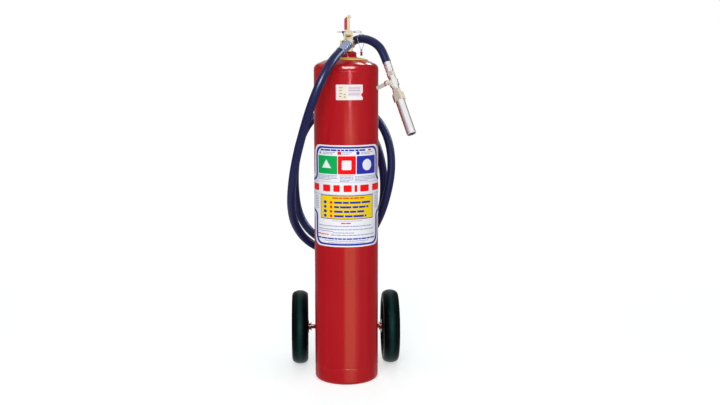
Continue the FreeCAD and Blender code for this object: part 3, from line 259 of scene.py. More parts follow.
def emboss(tree, shader, height, depth, strength):
    """Gives the shader's surface a fine relief of that depth."""
    bump = node(tree, "ShaderNodeBump", None,
                {"Height": height, "Distance": depth, "Strength": strength})
    tree.links.new(bump.outputs[0], shader.inputs["Normal"])


def shade(base, factor):
    """A colour made lighter or darker."""
    return tuple(min(1.0, c * factor) for c in base)


def dress(names, material):
    """Gives CAD nodes their finish."""
    for name in names:
        piece = frame["nodes"][name]
        if not piece.material_slots:
            piece.data.materials.append(material)
        for holder in piece.material_slots:
            holder.material = material


def finish_piece(piece, name, material, body, smooth, replaces=()):
    """Places a new piece in its mesh, smooths edges flatter than that angle, names its body."""
    take(piece)
    bpy.ops.object.transform_apply(location=True, rotation=True, scale=True)
    piece.name = name
    piece.data.materials.clear()
    piece.data.materials.append(material)
    bpy.ops.object.shade_smooth_by_angle(angle=math.radians(smooth))
    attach(piece, body)
    if replaces:
        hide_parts(*replaces)
    deselect()


def outward(piece):
    """Merges what lies together and points every face outwards."""
    take(piece)
    bpy.ops.object.mode_set(mode="EDIT")
    bpy.ops.mesh.select_all(action="SELECT")
    bpy.ops.mesh.remove_doubles(threshold=1e-6)
    bpy.ops.mesh.normals_make_consistent(inside=False)
    bpy.ops.object.mode_set(mode="OBJECT")


def spun(profile, centre, axis, steps):
    """A closed profile of (radius, distance along the axis) in metres, spun right round."""
    deselect()
    bpy.ops.mesh.primitive_circle_add(vertices=len(profile))
    piece = bpy.context.object
    side = axis.orthogonal().normalized()
    for vertex, (radius, along) in zip(piece.data.vertices, profile):
        vertex.co = centre + side * radius + axis * along
    bpy.ops.object.mode_set(mode="EDIT")
    bpy.ops.mesh.select_all(action="SELECT")
    bpy.ops.mesh.spin(steps=steps, angle=2 * math.pi, center=centre, axis=axis)
    bpy.ops.object.mode_set(mode="OBJECT")
    outward(piece)
    return piece


def swept(points, radius, sides, closed=False):
    """A tube of that radius at each point; its UV map holds turns across and metres along."""
    count = len(points)
    steps = range(count)
    ways = []
    for i in steps:
        before = points[i - 1] if i or closed else points[i]
        after = points[(i + 1) % count] if i < count - 1 or closed else points[i]
        ways.append((after - before).normalized())
    side = ways[0].orthogonal().normalized()
    vertices, lengths, run = [], [], 0.0
    for i in steps:
        side = (side - ways[i] * side.dot(ways[i])).normalized()
        other = ways[i].cross(side)
        run += (points[i] - points[i - 1]).length if i else 0.0
        lengths.append(run)
        reach = radius(i) if callable(radius) else radius
        for k in range(sides):
            turn = 2 * math.pi * k / sides
            vertices.append(points[i] + (side * math.cos(turn) + other * math.sin(turn)) * reach)
    faces = []
    for i in range(count if closed else count - 1):
        for k in range(sides):
            a, b = i * sides, ((i + 1) % count) * sides
            faces.append((a + k, a + (k + 1) % sides, b + (k + 1) % sides, b + k))
    tube_faces = len(faces)
    if not closed:
        faces.append(tuple(reversed(range(sides))))
        faces.append(tuple((count - 1) * sides + k for k in range(sides)))
    mesh = bpy.data.meshes.new("tube")
    mesh.from_pydata(vertices, [], faces)
    layer = mesh.uv_layers.new(name="UVMap")
    for index in range(tube_faces):
        i, k = divmod(index, sides)
        corners = ((i, k), (i, k + 1), (i + 1, k + 1), (i + 1, k))
        for loop, (j, turn) in zip(mesh.polygons[index].loop_indices, corners):
            layer.data[loop].uv = (turn / sides, lengths[min(j, count - 1)])
    piece = bpy.data.objects.new("tube", mesh)
    bpy.context.scene.collection.objects.link(piece)
    return piece


def spline_points(route):
    """The smooth line that a NURBS spline draws through a route of control points."""
    curve = bpy.data.curves.new("route", "CURVE")
    curve.dimensions = "3D"
    spline = curve.splines.new("NURBS")
    spline.points.add(len(route) - 1)
    for point, place in zip(spline.points, route):
        point.co = (*place, 1.0)
    spline.order_u = 3
    spline.use_endpoint_u = True
    spline.resolution_u = 10
    holder = bpy.data.objects.new("route", curve)
    bpy.context.scene.collection.objects.link(holder)
    bpy.context.view_layer.update()
    line = bpy.data.meshes.new_from_object(
        holder.evaluated_get(bpy.context.evaluated_depsgraph_get()))
    points = [vertex.co.copy() for vertex in line.vertices]
    bpy.data.objects.remove(holder)
    return points


def ring_points(centre, axis, radius, count):
    """Points round a circle."""
    side = axis.orthogonal().normalized()
    other = axis.cross(side)
    turns = [2 * math.pi * i / count for i in range(count)]
    return [centre + (side * math.cos(t) + other * math.sin(t)) * radius for t in turns]


def rounded(corners, steps=6):
    """The points of an outline whose corners (across, up, radius) are rounded, all in mm."""
    points = []
    for i, (across, up, radius) in enumerate(corners):
        corner = Vector((across, up))
        before = Vector(corners[i - 1][:2]) - corner
        after = Vector(corners[(i + 1) % len(corners)][:2]) - corner
        half = before.angle(after) / 2
        reach = radius / math.tan(half)
        centre = corner + (before.normalized() + after.normalized()).normalized() * (
            radius / math.sin(half))
        start = corner + before.normalized() * reach - centre
        turn = start.angle_signed(corner + after.normalized() * reach - centre)
        for k in range(steps + 1):
            angle = -turn * k / steps
            points.append(centre + Vector((
                start.x * math.cos(angle) - start.y * math.sin(angle),
                start.x * math.sin(angle) + start.y * math.cos(angle))))
    return points


# ---------------------------------------------------------------- stage


class OBJECT_OT_extinguisher_stage(bpy.types.Operator):
    """Sets the camera, the lamps, the paper floor and the white room"""

    bl_idname = "object.extinguisher_stage"
    bl_label = "Studio"

    def execute(self, context):
        settings = context.scene.extinguisher_stage
        scene = context.scene
        scene.view_settings.view_transform = "Standard"
        data = bpy.data.cameras.new("camera")
        data.lens = settings.lens
        data.sensor_width = 36
        camera = bpy.data.objects.new("camera", data)
        camera.location = settings.camera_place
        camera.rotation_euler = settings.camera_turn
        scene.collection.objects.link(camera)
        scene.camera = camera
        self.room(scene, settings)
        self.lamps()
        self.flags()
        self.paper(settings)
        return {"FINISHED"}

    def room(self, scene, settings):
        """A white room for the eye, metal and glass, and a softer light on dull surfaces."""
        world = bpy.data.worlds.new("white room")
        scene.world = world
        world.use_nodes = True
        tree = world.node_tree
        light = node(tree, "ShaderNodeLightPath").outputs
        seen = maths(tree, "MAXIMUM", light["Is Camera Ray"], light["Is Glossy Ray"])
        seen = maths(tree, "MAXIMUM", seen, light["Is Transmission Ray"])
        strength = mapped(tree, seen, settings.ambient, 1.0)
        background = tree.nodes["Background"]
        background.inputs["Color"].default_value = (1, 1, 1, 1)
        tree.links.new(strength, background.inputs["Strength"])

    def lamps(self):
        """Softboxes: the soft light on everything, and glints that only one finish mirrors."""
        middle = Vector((0.0, -0.1, 0.7))
        top = Vector((0.0, -0.1, 1.15))
        # Name, place, aim, width, height, radiance, colour, the finish that mirrors it.
        rows = (
            ("key", (-0.6, -5.0, 2.4), middle, 2.4, 2.4, 8.4, "ffffff", None),
            ("back", (0.2, 5.0, 2.6), middle, 2.4, 2.4, 4.5, "ffffff", None),
            ("dome", (0.36, -2.48, 3.06), top, 2.1, 1.9, 105.0, "fff6f6", "enamel"),
            ("dome right", (1.05, 1.80, 3.15), top, 0.9, 0.9, 60.0, "fff6f6", "enamel"),
            ("streak", (1.32, -5.96, 0.88), top, 0.9, 0.42, 42.0, "ffd6e0", "enamel"),
            ("warm card", (1.25, -5.96, -0.65), middle, 4.0, 2.5, 4.4, "eeffb8", "enamel"),
            ("warm edge", (1.75, -5.85, -0.65), middle, 6.2, 2.5, 2.0, "eeffb8", "enamel"),
            ("hose strip", (-0.9, -4.4, 2.7), middle, 1.1, 0.8, 290.0, "ffffff", "hose"),
            ("hose side", (4.5, 0.9, 2.9), top, 1.5, 1.5, 90.0, "dfe6ff", "hose"),
            ("ferrule strip", (1.1, -5.3, -0.25), top, 1.4, 1.0, 24.0, "ffffff", "ferrule"),
            ("tyre strip", (0.0, -5.0, 1.6), middle, 0.8, 3.0, 20.0, "ffffff", "tyre"),
        )
        holders = {}
        for finish in ("enamel", "hose", "ferrule", "tyre"):
            holders[finish] = bpy.data.collections.new(finish)
            for piece in bpy.context.scene.objects:
                if piece.type == "MESH" and piece.active_material == FINISHES[finish]:
                    holders[finish].objects.link(piece)
        for name, place, aim, width, height, radiance, code, finish in rows:
            data = bpy.data.lights.new(name, "AREA")
            data.shape = "RECTANGLE"
            data.size, data.size_y = width, height
            data.color = linear(code)
            # An area lamp of this power has that radiance over its whole face.
            data.energy = radiance * math.pi * width * height
            lamp = bpy.data.objects.new(name, data)
            lamp.location = place
            lamp.rotation_euler = (Vector(aim) - Vector(place)).to_track_quat("-Z", "Y").to_euler()
            lamp.visible_camera = False
            lamp.visible_glossy = finish is not None
            lamp.visible_diffuse = finish is None
            if finish:
                lamp.light_linking.receiver_collection = holders[finish]
            bpy.context.scene.collection.objects.link(lamp)

    def flags(self):
        """Grey cards that only shiny surfaces see, so that metal has something dark to mirror."""
        # The cards are this high and stand at this distance round a point over the floor.
        height, distance, centre_y, centre_z = 3.4, 2.6, -0.1, 0.9
        # From the left: its direction in degrees, its width in metres, its light at both ends.
        for turn, width, first, last in (
                (-148, 1.6, 0.30, 0.30), (-105, 2.6, 0.22, 0.22), (-46, 2.9, 0.22, 0.95),
                (105, 2.6, 0.30, 0.30), (148, 1.6, 0.30, 0.30)):
            material, tree, shader, place = new_material(
                "Grey felt", (0.0, 0.0, 0.0), Roughness=1.0, Specular_IOR_Level=0.0,
                Emission_Color=(1.0, 0.92, 0.94, 1.0))
            # The card is one unit wide before it is scaled, so its ends lie half a unit out.
            across = node(tree, "ShaderNodeSeparateXYZ", None, {"Vector": place}).outputs["X"]
            tree.links.new(mapped(tree, across, first, last, -0.5, 0.5),
                           shader.inputs["Emission Strength"])
            way = math.radians(turn)
            deselect()
            bpy.ops.mesh.primitive_plane_add(
                size=1, rotation=(math.pi / 2, 0, way),
                location=(distance * math.sin(way), centre_y - distance * math.cos(way),
                          centre_z))
            card = bpy.context.object
            card.name = "flag"
            card.scale = (width, height, 1)
            card.data.materials.append(material)
            card.visible_camera = False
            card.visible_diffuse = False
            card.visible_shadow = False
            card.visible_transmission = False

    def paper(self, settings):
        """A sheet of white paper under the wheels that fades out into the white room."""
        radius, fade_start, fade_end = 3.2, 1.0, 2.6
        deselect()
        bpy.ops.mesh.primitive_circle_add(vertices=96, radius=radius, fill_type="NGON")
        floor = bpy.context.object
        floor.name = "paper_floor"
        material, tree, shader, place = new_material(
            "Matt background paper", tuple(settings.floor), Roughness=1.0, Specular_IOR_Level=0.0)
        light = node(tree, "ShaderNodeLightPath").outputs
        glow = maths(tree, "MAXIMUM", light["Is Camera Ray"], light["Is Glossy Ray"])
        shader.inputs["Emission Color"].default_value = (1, 1, 1, 1)
        tree.links.new(maths(tree, "MULTIPLY", glow, settings.floor_glow),
                       shader.inputs["Emission Strength"])
        reach = node(tree, "ShaderNodeVectorMath", {"operation": "LENGTH"}, {0: place})
        fade = mapped(tree, reach.outputs["Value"], 1.0, 0.0, fade_start, fade_end, "SMOOTHSTEP")
        tree.links.new(fade, shader.inputs["Alpha"])
        floor.data.materials.append(material)
        floor.visible_glossy = False


# ---------------------------------------------------------------- materials


def gloss_enamel(name, base, roughness=0.14, gloss=0.1):
    """Stoved enamel: a deep even colour under a hard gloss with a little orange peel."""
    material, tree, shader, place = new_material(name, base, IOR=1.5, Specular_IOR_Level=gloss)
    # Stoving draws the paint into a soft 4 mm swell; where hands rubbed it the gloss is duller.
    peel = noise(tree, place, 250.0, 1.0)
    rub = noise(tree, place, 7.0, 5.0)
    tint(tree, shader, rub, shade(base, 0.93), shade(base, 1.06))
    tree.links.new(mapped(tree, rub, roughness * 0.8, roughness * 1.3),
                   shader.inputs["Roughness"])
    emboss(tree, shader, peel, 0.01 * MM, 0.4)
    return material


def metal(name, base, roughness, grain_size, grain_depth):
    """Bare or plated metal: its grain is turning marks, brushing or the sand of a casting."""
    material, tree, shader, place = new_material(name, base, Metallic=1.0)
    grain = noise(tree, place, 1.0 / (grain_size * MM), 3.0)
    # Handling dulls and darkens the metal in patches about 25 mm across.
    stain = noise(tree, place, 40.0, 5.0)
    tint(tree, shader, stain, shade(base, 0.86), shade(base, 1.08))
    tree.links.new(mapped(tree, stain, roughness * 0.8, roughness * 1.25),
                   shader.inputs["Roughness"])
    emboss(tree, shader, grain, grain_depth * MM, 0.5)
    return material


def moulded(name, base, roughness, grain_size=0.6, grain_depth=0.02):
    """Moulded plastic or rubber: an even colour with the fine texture of its mould."""
    material, tree, shader, place = new_material(name, base, Roughness=roughness, IOR=1.5)
    grain = noise(tree, place, 1.0 / (grain_size * MM), 2.0)
    # With age the surface pales in soft patches about 70 mm across.
    bloom = noise(tree, place, 14.0, 5.0)
    tint(tree, shader, bloom, shade(base, 0.85), shade(base, 1.2))
    emboss(tree, shader, grain, grain_depth * MM, 0.6)
    return material


def tyre_rubber(name, base, crown_highlight):
    """Solid tyre: black sidewalls, with a painted dark green highlight along the middle of the
    crown.
    """
    material, tree, shader, place = new_material(
        name, base, Roughness=0.40, IOR=1.5, Specular_IOR_Level=0.06,
        Specular_Tint=(0.45, 0.95, 0.9, 1.0))
    low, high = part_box("tyre_right")
    # The distance across from the nearer tyre's middle.
    across = node(tree, "ShaderNodeSeparateXYZ", None, {"Vector": place}).outputs["X"]
    side = maths(tree, "ABSOLUTE", across)
    side = maths(tree, "SUBTRACT", side, (low.x + high.x) / 2)
    side = maths(tree, "ABSOLUTE", side)
    # Noise makes the edge of the painted highlight band wander by a few millimetres.
    edge = maths(tree, "MULTIPLY_ADD", noise(tree, place, 55.0, 5.0), 8 * MM, side)
    # The painted highlight's mask: full in the crown's middle, gone 19 mm out.
    band = mapped(tree, edge, 1.0, 0.0, 3 * MM, 19 * MM, "SMOOTHSTEP")
    tint(tree, shader, band, base, crown_highlight)
    emboss(tree, shader, noise(tree, place, 1400.0, 2.0), 0.04 * MM, 0.6)
    return material


def hose_cover(name, base):
    """Wrapped hose cover: smooth navy rubber with the faint weave of its curing tape."""
    material, tree, shader, place = new_material(
        name, base, Roughness=0.35, IOR=1.5, Specular_IOR_Level=0.2,
        Specular_Tint=(0.6, 0.8, 1.0, 1.0))
    uv = node(tree, "ShaderNodeTexCoord").outputs["UV"]
    # The UV map holds turns and metres, so a turn is stretched to the hose's girth.
    laid = node(tree, "ShaderNodeMapping", None, {"Vector": uv, "Scale": (HOSE_GIRTH, 1.0, 1.0)})
    # The curing tape's crossed threads are 1.2 mm wide, with as much between them.
    thread = 1.2 * MM
    weave = []
    for turn in (45, -45):
        tilted = node(tree, "ShaderNodeMapping", None,
                      {"Vector": laid.outputs[0], "Rotation": (0, 0, math.radians(turn))})
        # A Wave node draws 20 radians of its wave to the unit.
        wave = node(tree, "ShaderNodeTexWave", {"wave_profile": "SIN"},
                    {"Vector": tilted.outputs[0], "Scale": math.pi / (20 * thread)})
        weave.append(wave.outputs["Fac"])
    emboss(tree, shader, maths(tree, "MULTIPLY", *weave), 0.06 * MM, 0.5)
    bloom = noise(tree, place, 11.0, 4.0)
    tint(tree, shader, bloom, shade(base, 0.8), shade(base, 1.25))
    return material


def printed(name, base):
    """Screen ink on vinyl film: flat colour with the film's low satin gloss."""
    material, tree, shader, place = new_material(
        name, base, Roughness=0.34, IOR=1.46, Specular_IOR_Level=0.15)
    emboss(tree, shader, noise(tree, place, 60.0, 1.0), 0.03 * MM, 0.4)
    return material


FINISHES = {}


class OBJECT_OT_extinguisher_finishes(bpy.types.Operator):
    """Makes the paints, metals, rubbers and plastics"""

    bl_idname = "object.extinguisher_finishes"
    bl_label = "Finishes"

    def execute(self, context):
        paint = context.scene.extinguisher_paint
        FINISHES.update({
            "enamel": gloss_enamel("Stoved red enamel", tuple(paint.enamel)),
            "collar": moulded("Moulded yellow polypropylene", tuple(paint.collar), 0.42),
            "brass": metal("Cast brass", tuple(paint.brass), 0.27, 0.8, 0.02),
            "turned brass": metal("Turned brass", tuple(paint.brass), 0.17, 0.5, 0.004),
            "nut brass": metal("Dulled turned brass", tuple(paint.nut), 0.24, 0.6, 0.008),
            "nickel": metal("Bright nickel plate", tuple(paint.nickel), 0.14, 0.9, 0.004),
            "zinc": metal("Zinc-plated steel", tuple(paint.zinc), 0.26, 0.7, 0.006),
            "ferrule": metal("Crimped steel ferrule", linear("93a0bd"), 0.30, 0.8, 0.004),
            "aluminium": metal("Drawn aluminium", tuple(paint.aluminium), 0.27, 0.4, 0.0015),
            "tyre": tyre_rubber("Vulcanised tyre rubber", tuple(paint.tyre), tuple(paint.crown_highlight)),
            "wheel": gloss_enamel("Black wheel enamel", tuple(paint.wheel), 0.2, 0.3),
            "nylon": moulded("Turned nylon", linear("e9e6da"), 0.40),
            "black steel": gloss_enamel("Black stoved enamel", linear("16171a")),
            "grip rubber": moulded("Grip rubber", linear("17181b"), 0.6, 0.8, 0.05),
            "red plastic": moulded("Dipped red vinyl", tuple(paint.grip), 0.32),
            "tag": moulded("Dark red tag plastic", linear("8a1626"), 0.35),
            "blue plastic": moulded("Blue polyethylene", tuple(paint.seal), 0.35),
            "rubber": moulded("Nitrile seal rubber", linear("1b1b1d"), 0.6),
            "ptfe": moulded("White seal plastic", linear("f1efe8"), 0.4),
            "dip tube": moulded("Polyethylene tube", linear("dcdcd2"), 0.4),
            "hose": hose_cover("Wrapped navy hose rubber", tuple(paint.hose)),
        })
        return {"FINISHED"}


# ---------------------------------------------------------------- pieces


class OBJECT_OT_extinguisher_hose(bpy.types.Operator):
    """Lays the hose along its route, with its ends in their ferrules"""

    bl_idname = "object.extinguisher_hose"
    bl_label = "Hose"

    def execute(self, context):
        axis = Vector((BARREL_AXIS.x, BARREL_AXIS.y, 0.0))
        route = [Vector(place) * MM + axis for place in HOSE_ROUTE]
        points = spline_points(route)
        hose = swept(points, HOSE_DIAMETER / 2, 28)
        finish_piece(hose, "navy_hose", FINISHES["hose"], "cylinder", 60, ["hose"])
        dress(["valve_ferrule"], FINISHES["ferrule"])
        dress(["hose_tail"], FINISHES["aluminium"])
        return {"FINISHED"}


class OBJECT_OT_extinguisher_cylinder(bpy.types.Operator):
    """Paints the cylinder and lays its weld beads"""

    bl_idname = "object.extinguisher_cylinder"
    bl_label = "Cylinder"

    points_per_ripple = 4

    def execute(self, context):
        dress(["barrel", "base_skirt", "top_head", "bottom_head", "neck_boss"], FINISHES["enamel"])
        dress(["service_collar"], FINISHES["collar"])
        neck_low, neck_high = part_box("neck_boss")
        neck = (neck_high.x - neck_low.x) / 2
        seam = BARREL_RADIUS - 1.6 * MM
        # The round seams: name, height, radius, the bead's radius in mm, its number of ripples.
        rings = (
            ("skirt_weld", BARREL_LOW.z, seam, 2.1, 220),
            ("dome_weld", BARREL_HIGH.z, seam, 2.1, 220),
            ("neck_weld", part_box("top_head")[1].z, neck + 0.8 * MM, 2.4, 72),
        )
        for name, height, radius, bead, ripples in rings:
            centre = Vector((BARREL_AXIS.x, BARREL_AXIS.y, height))
            around = ring_points(centre, UP, radius, ripples * self.points_per_ripple)
            self.weld(name, around, bead, True)
        low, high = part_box("handle_frame")
        tube = (high.z - low.z) / 2
        turns = [2 * math.pi * i / 96 for i in range(96)]
        for side, name in ((-1, "left"), (1, "right")):
            across = side * (high.x - tube)
            self.weld("handle_weld_" + name, [
                self.on_barrel(across + tube * math.cos(t), low.z + tube + tube * math.sin(t))
                for t in turns], 2.2, True)
            # Each bracket plate has a bead on both faces, which stops short of the plate's ends.
            low_end, high_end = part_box("axle_bracket_" + name)
            middle = (low_end.x + high_end.x) / 2
            rows = [low_end.z + (high_end.z - low_end.z) * k / 80 for k in range(6, 75)]
            for edge in (-3.2, 3.2):
                self.weld("bracket_weld_%s_%s" % (name, "in" if edge * side < 0 else "out"),
                          [self.on_barrel(middle + edge * MM, row) for row in rows], 1.9, False)
        return {"FINISHED"}

    def on_barrel(self, across, height):
        """The point behind the barrel's middle at that place across and that height."""
        return Vector((across, BARREL_AXIS.y + math.sqrt(BARREL_RADIUS ** 2 - across ** 2), height))

    def weld(self, name, points, bead, closed):
        """A weld bead: a low round ridge with the ripples of its passes."""
        ripple = math.pi / self.points_per_ripple
        seam = swept(
            points, lambda i: bead * (1 + 0.09 * abs(math.sin(ripple * i))) * MM, 10, closed)
        finish_piece(seam, name, FINISHES["enamel"], "cylinder", 80)


class OBJECT_OT_extinguisher_grip(bpy.types.Operator):
    """Turns the ribbed rubber grip of the handle"""

    bl_idname = "object.extinguisher_grip"
    bl_label = "Grip"

    def execute(self, context):
        settings = context.scene.extinguisher_grip
        low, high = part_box("handle_grip")
        start = Vector((low.x, (low.y + high.y) / 2, (low.z + high.z) / 2))
        length, flange = high.x - low.x, (high.z - low.z) / 2
        outer = flange - settings.rib
        inner = outer - settings.wall
        # Both ends have a collar. Counted from the end, its edge rounds over, it runs flat, it
        # slopes down, and the ribs begin.
        over, flat, slope, collar = 0.8 * MM, 5 * MM, 7 * MM, 8 * MM
        ribbed = length - 2 * collar
        count = max(1, round(ribbed / settings.pitch))
        step = ribbed / count
        profile = [(inner, 0.0), (flange - over, 0.0), (flange, over), (flange, flat),
                   (outer, slope), (outer, collar)]
        for i in range(count):
            profile += [(outer + settings.rib * height, collar + step * (i + share))
                        for share, height in ((0.2, 0.1), (0.32, 0.7), (0.5, 0.9), (0.68, 0.7),
                                              (0.8, 0.1), (1.0, 0.0))]
        profile += [(outer, length - slope), (flange, length - flat),
                    (flange, length - over), (flange - over, length), (inner, length)]
        grip = spun(profile, start, RIGHT, 48)
        finish_piece(grip, "ribbed_grip", FINISHES["grip rubber"], "cylinder", 50,
                     ["handle_grip"])
        return {"FINISHED"}


class OBJECT_OT_extinguisher_labels(bpy.types.Operator):
    """Prints both labels on vinyl film and lays them round the barrel"""

    bl_idname = "object.extinguisher_labels"
    bl_label = "Labels"

    # Half of the big label's border, from its lower right corner up: across, up, corner radius.
    border = (
        (137, 510, 34), (137, 619, 15), (206, 632, 10), (206, 732, 10), (137, 748, 15),
        (137, 859.6, 34),
    )
    # All print is measured in millimetres, across from the label's middle and up from the floor.
    # Blocks and bars: layer, left, right, low, high.
    bars = (
        ("green", -120, -35, 763, 827), ("red", -33, 31, 763, 827), ("blue", 34, 119, 763, 827),
        ("red", -34, -21, 831.5, 842.5), ("lavender", -180, 180, 687, 692),
        ("blue", -106.5, 105.5, 603.5, 688.5), ("yellow", -104, 103, 606, 686),
        ("red", -166, -116, 701, 725), ("red", -94, -62, 701, 725), ("red", -50, -26, 701, 725),
        ("red", -13, 16, 701, 725), ("red", 26, 36, 701, 725), ("red", 47, 84, 701, 725),
        ("red", 102, 166, 701, 725),
        ("lavender", -180, 180, 733.6, 736.5),
        ("lavender", -38, -34.5, 1026, 1071), ("cream", -33, 0, 1024, 1072),
        ("rose", 3, 51, 1034, 1069),
    )
    # Rows of print, which break into words: layer, left, right, middle, height of the print.
    rows = (
        ("blue", -106, 74, 847, 6), ("red", 80, 99, 847, 6),
        ("grey", -93, -40, 839, 2.6), ("grey", -93, -52, 834, 2.6),
        ("grey", -18, 17, 839, 2.6), ("grey", -18, 8, 834, 2.6),
        ("grey", 50, 105, 839, 2.6), ("grey", 50, 92, 834, 2.6),
        ("grey", -123, -34, 758, 2.4), ("grey", -123, -38, 753, 2.4), ("grey", -123, -32, 748, 2.4),
        ("grey", -123, -60, 743, 2.4), ("grey", -26, 23, 758, 2.4), ("grey", -26, 20, 753, 2.4),
        ("grey", -26, 23, 748, 2.4), ("grey", -26, 21, 743, 2.4), ("grey", -26, 6, 738, 2.4),
        ("grey", 27, 125, 755, 2.4), ("grey", 27, 121, 750, 2.4), ("grey", 27, 124, 745, 2.4),
        ("grey", 27, 80, 740, 2.4), ("orange", -54, 68, 679, 5.5),
        ("top blue", -47.5, 95, 663, 7.5), ("top blue", -47.5, 82, 647, 7.5),
        ("top blue", -47.5, 63, 631, 7.5), ("top blue", -47.5, 73, 615, 7.5),
        ("grey", -56, 55, 598, 2.0), ("red", -22, 16, 590, 4.0), ("grey", -117, 95, 579, 3.2),
        ("grey", -117, 110, 567, 3.2), ("grey", -118, -49, 560, 2.6), ("grey", -52, 24, 555.5, 2.6),
        ("red", -125, -63, 548, 4.0), ("grey", -60, 113, 547, 3.2), ("blue", -123, 118, 534, 5.0),
        ("grey", -88, 81, 526.5, 2.4), ("grey", -72, 68, 519.5, 2.4),
        *(("grey", left, right, 681 - 6 * k, 2.4) for k in range(8)
          for left, right in ((-141, -118), (116, 140))),
        ("grey", 5, 48, 1063, 2.2), ("grey", 5, 46, 1055, 2.2), ("grey", 5, 44, 1042, 2.2),
        ("tan", -28, -15, 1064, 3), ("tan", -28, -18, 1055, 3), ("tan", -28, -16, 1044, 3),
        ("tan", -28, -20, 1034, 4), ("tan", -12, -5, 1032, 4), ("tan", -12, -4, 1041, 3),
    )
    # Plain marks: layer, corners, across, up, width, height. Three corners make a triangle.
    marks = (
        ("green", 3, -107.5, 836.5, 15, 13), ("blue", 32, 38.5, 837, 13, 13),
        ("white", 3, -78, 794, 46, 40), ("white", 4, -2, 795, 33, 33),
        ("white", 32, 76, 795, 40, 40),
        *(("top red", 6, -59, up, 12, 11) for up in (663, 647, 631, 615)),
        *(("top blue", corners, -84, up, 15, 12)
          for corners, up in ((12, 663), (5, 647), (12, 631), (5, 615))),
    )
    # The printing's layers from the film up: name, ink, height over the film in millimetres.
    layers = (
        ("lavender", "lavender", 0.05), ("rose", "rose", 0.05), ("cream", "cream", 0.05),
        ("green", "green", 0.05), ("blue", "blue", 0.05), ("red", "red", 0.05),
        ("grey", "grey", 0.10), ("tan", "tan", 0.10), ("yellow", "yellow", 0.10),
        ("white", "film", 0.15), ("orange", "orange", 0.15), ("top blue", "blue", 0.15),
        ("top red", "red", 0.15),
    )
    slots = {"blue": "blue plastic", "red": "red plastic", "yellow": "yellow collar"}

    # The small label's outline from its lower right corner up: across, up, corner radius.
    small = (
        (57, 1021.5, 3), (57, 1030, 1), (50, 1039, 1), (57, 1049, 1), (57, 1074.5, 3),
        (-39, 1074.5, 3), (-39, 1021.5, 3),
    )
    # The film stands off the enamel by this much, and ink sinks into the film by this much.
    stand_off = 0.05 * MM
    sink = 0.02 * MM

    def execute(self, context):
        settings = context.scene.extinguisher_label
        base = settings.thickness
        self.inks = {
            ink: printed(ink.capitalize() + " screen ink", tuple(getattr(settings, ink)))
            for ink in dict.fromkeys(ink for name, ink, lift in self.layers)}
        self.inks["film"].name = "White vinyl film"
        edge = [*self.border, *((-across, up, radius) for across, up, radius in self.border[::-1])]
        # The film reaches past the border: to the sides, at the ends, and above and below the
        # side tabs, which lie within 150 mm of the label's middle. Its corners are softer.
        middle, tabs, past_side, past_end, past_tab, softer = 685, 150, 14, 5, 9, 5
        film = []
        for across, up, radius in edge:
            margin = past_end if abs(up - middle) > tabs else past_tab
            film.append((across + math.copysign(past_side, across),
                         up + math.copysign(margin, up - middle), radius + softer))
        for name, outline in (("label_film", film), ("small_label_film", self.small)):
            self.sheet(rounded(outline))
            self.wrap(name, "film", self.stand_off, base)
        # The border is what is left when the sheet's inside, drawn in at the sides, is cut out.
        stripe, side_share = 6.6 * MM, 0.955
        self.sheet(rounded(edge))
        bpy.ops.mesh.inset(thickness=stripe)
        bpy.ops.transform.resize(value=(side_share, 1, 1), center_override=(0, 0, 0))
        bpy.ops.mesh.delete(type="FACE")
        self.wrap("label_border", "blue", base - self.sink, base + 0.06 * MM)
        # A word is 1.6 to 5.5 times as long as its print is high, a gap 0.35 to 0.6 times.
        words = random.Random(7)
        for name, ink, lift in self.layers:
            self.sheet([])
            for kind, left, right, low, high in self.bars:
                if kind == name:
                    self.stamp(4, (left + right) / 2, (low + high) / 2, right - left, high - low)
            for kind, left, right, middle, height in self.rows:
                while kind == name and left < right - height:
                    end = min(right, left + height * words.uniform(1.6, 5.5))
                    self.stamp(4, (left + end) / 2, middle, end - left, height)
                    left = end + height * words.uniform(0.35, 0.6)
            for kind, corners, across, up, width, height in self.marks:
                if kind == name:
                    self.stamp(corners, across, up, width, height)
            self.wrap("print_" + name.replace(" ", "_"), ink, base - self.sink, base + lift * MM)
        return {"FINISHED"}

    def sheet(self, outline):
        """A flat sheet in front of the barrel, in edit mode, or an empty one to stamp on."""
        deselect()
        bpy.ops.mesh.primitive_circle_add(vertices=max(3, len(outline)), fill_type="NGON")
        mesh = bpy.context.object.data
        for vertex, (across, up) in zip(mesh.vertices, outline):
            vertex.co = (across * MM, 0.0, up * MM)
        bpy.ops.object.mode_set(mode="EDIT")
        bpy.ops.mesh.select_all(action="SELECT")
        if not outline:
            bpy.ops.mesh.delete(type="VERT")

    def stamp(self, corners, across, up, width, height):
        """One printed shape: a bar, or a mark with that number of corners."""
        centre = Vector((across, 0.0, up)) * MM
        if corners == 4:
            bpy.ops.mesh.primitive_plane_add(size=1, location=centre, rotation=(math.pi / 2, 0, 0))
        else:
            bpy.ops.mesh.primitive_circle_add(
                vertices=corners, radius=0.5, fill_type="NGON", location=centre,
                rotation=(math.pi / 2, 0, 0))
        bpy.ops.transform.resize(value=(width * MM, 1, height * MM), center_override=centre)
        # Large blocks have rounded corners.
        if corners == 4 and min(width, height) > 20:
            bpy.ops.mesh.bevel(offset=3 * MM, affect="VERTICES", segments=4)

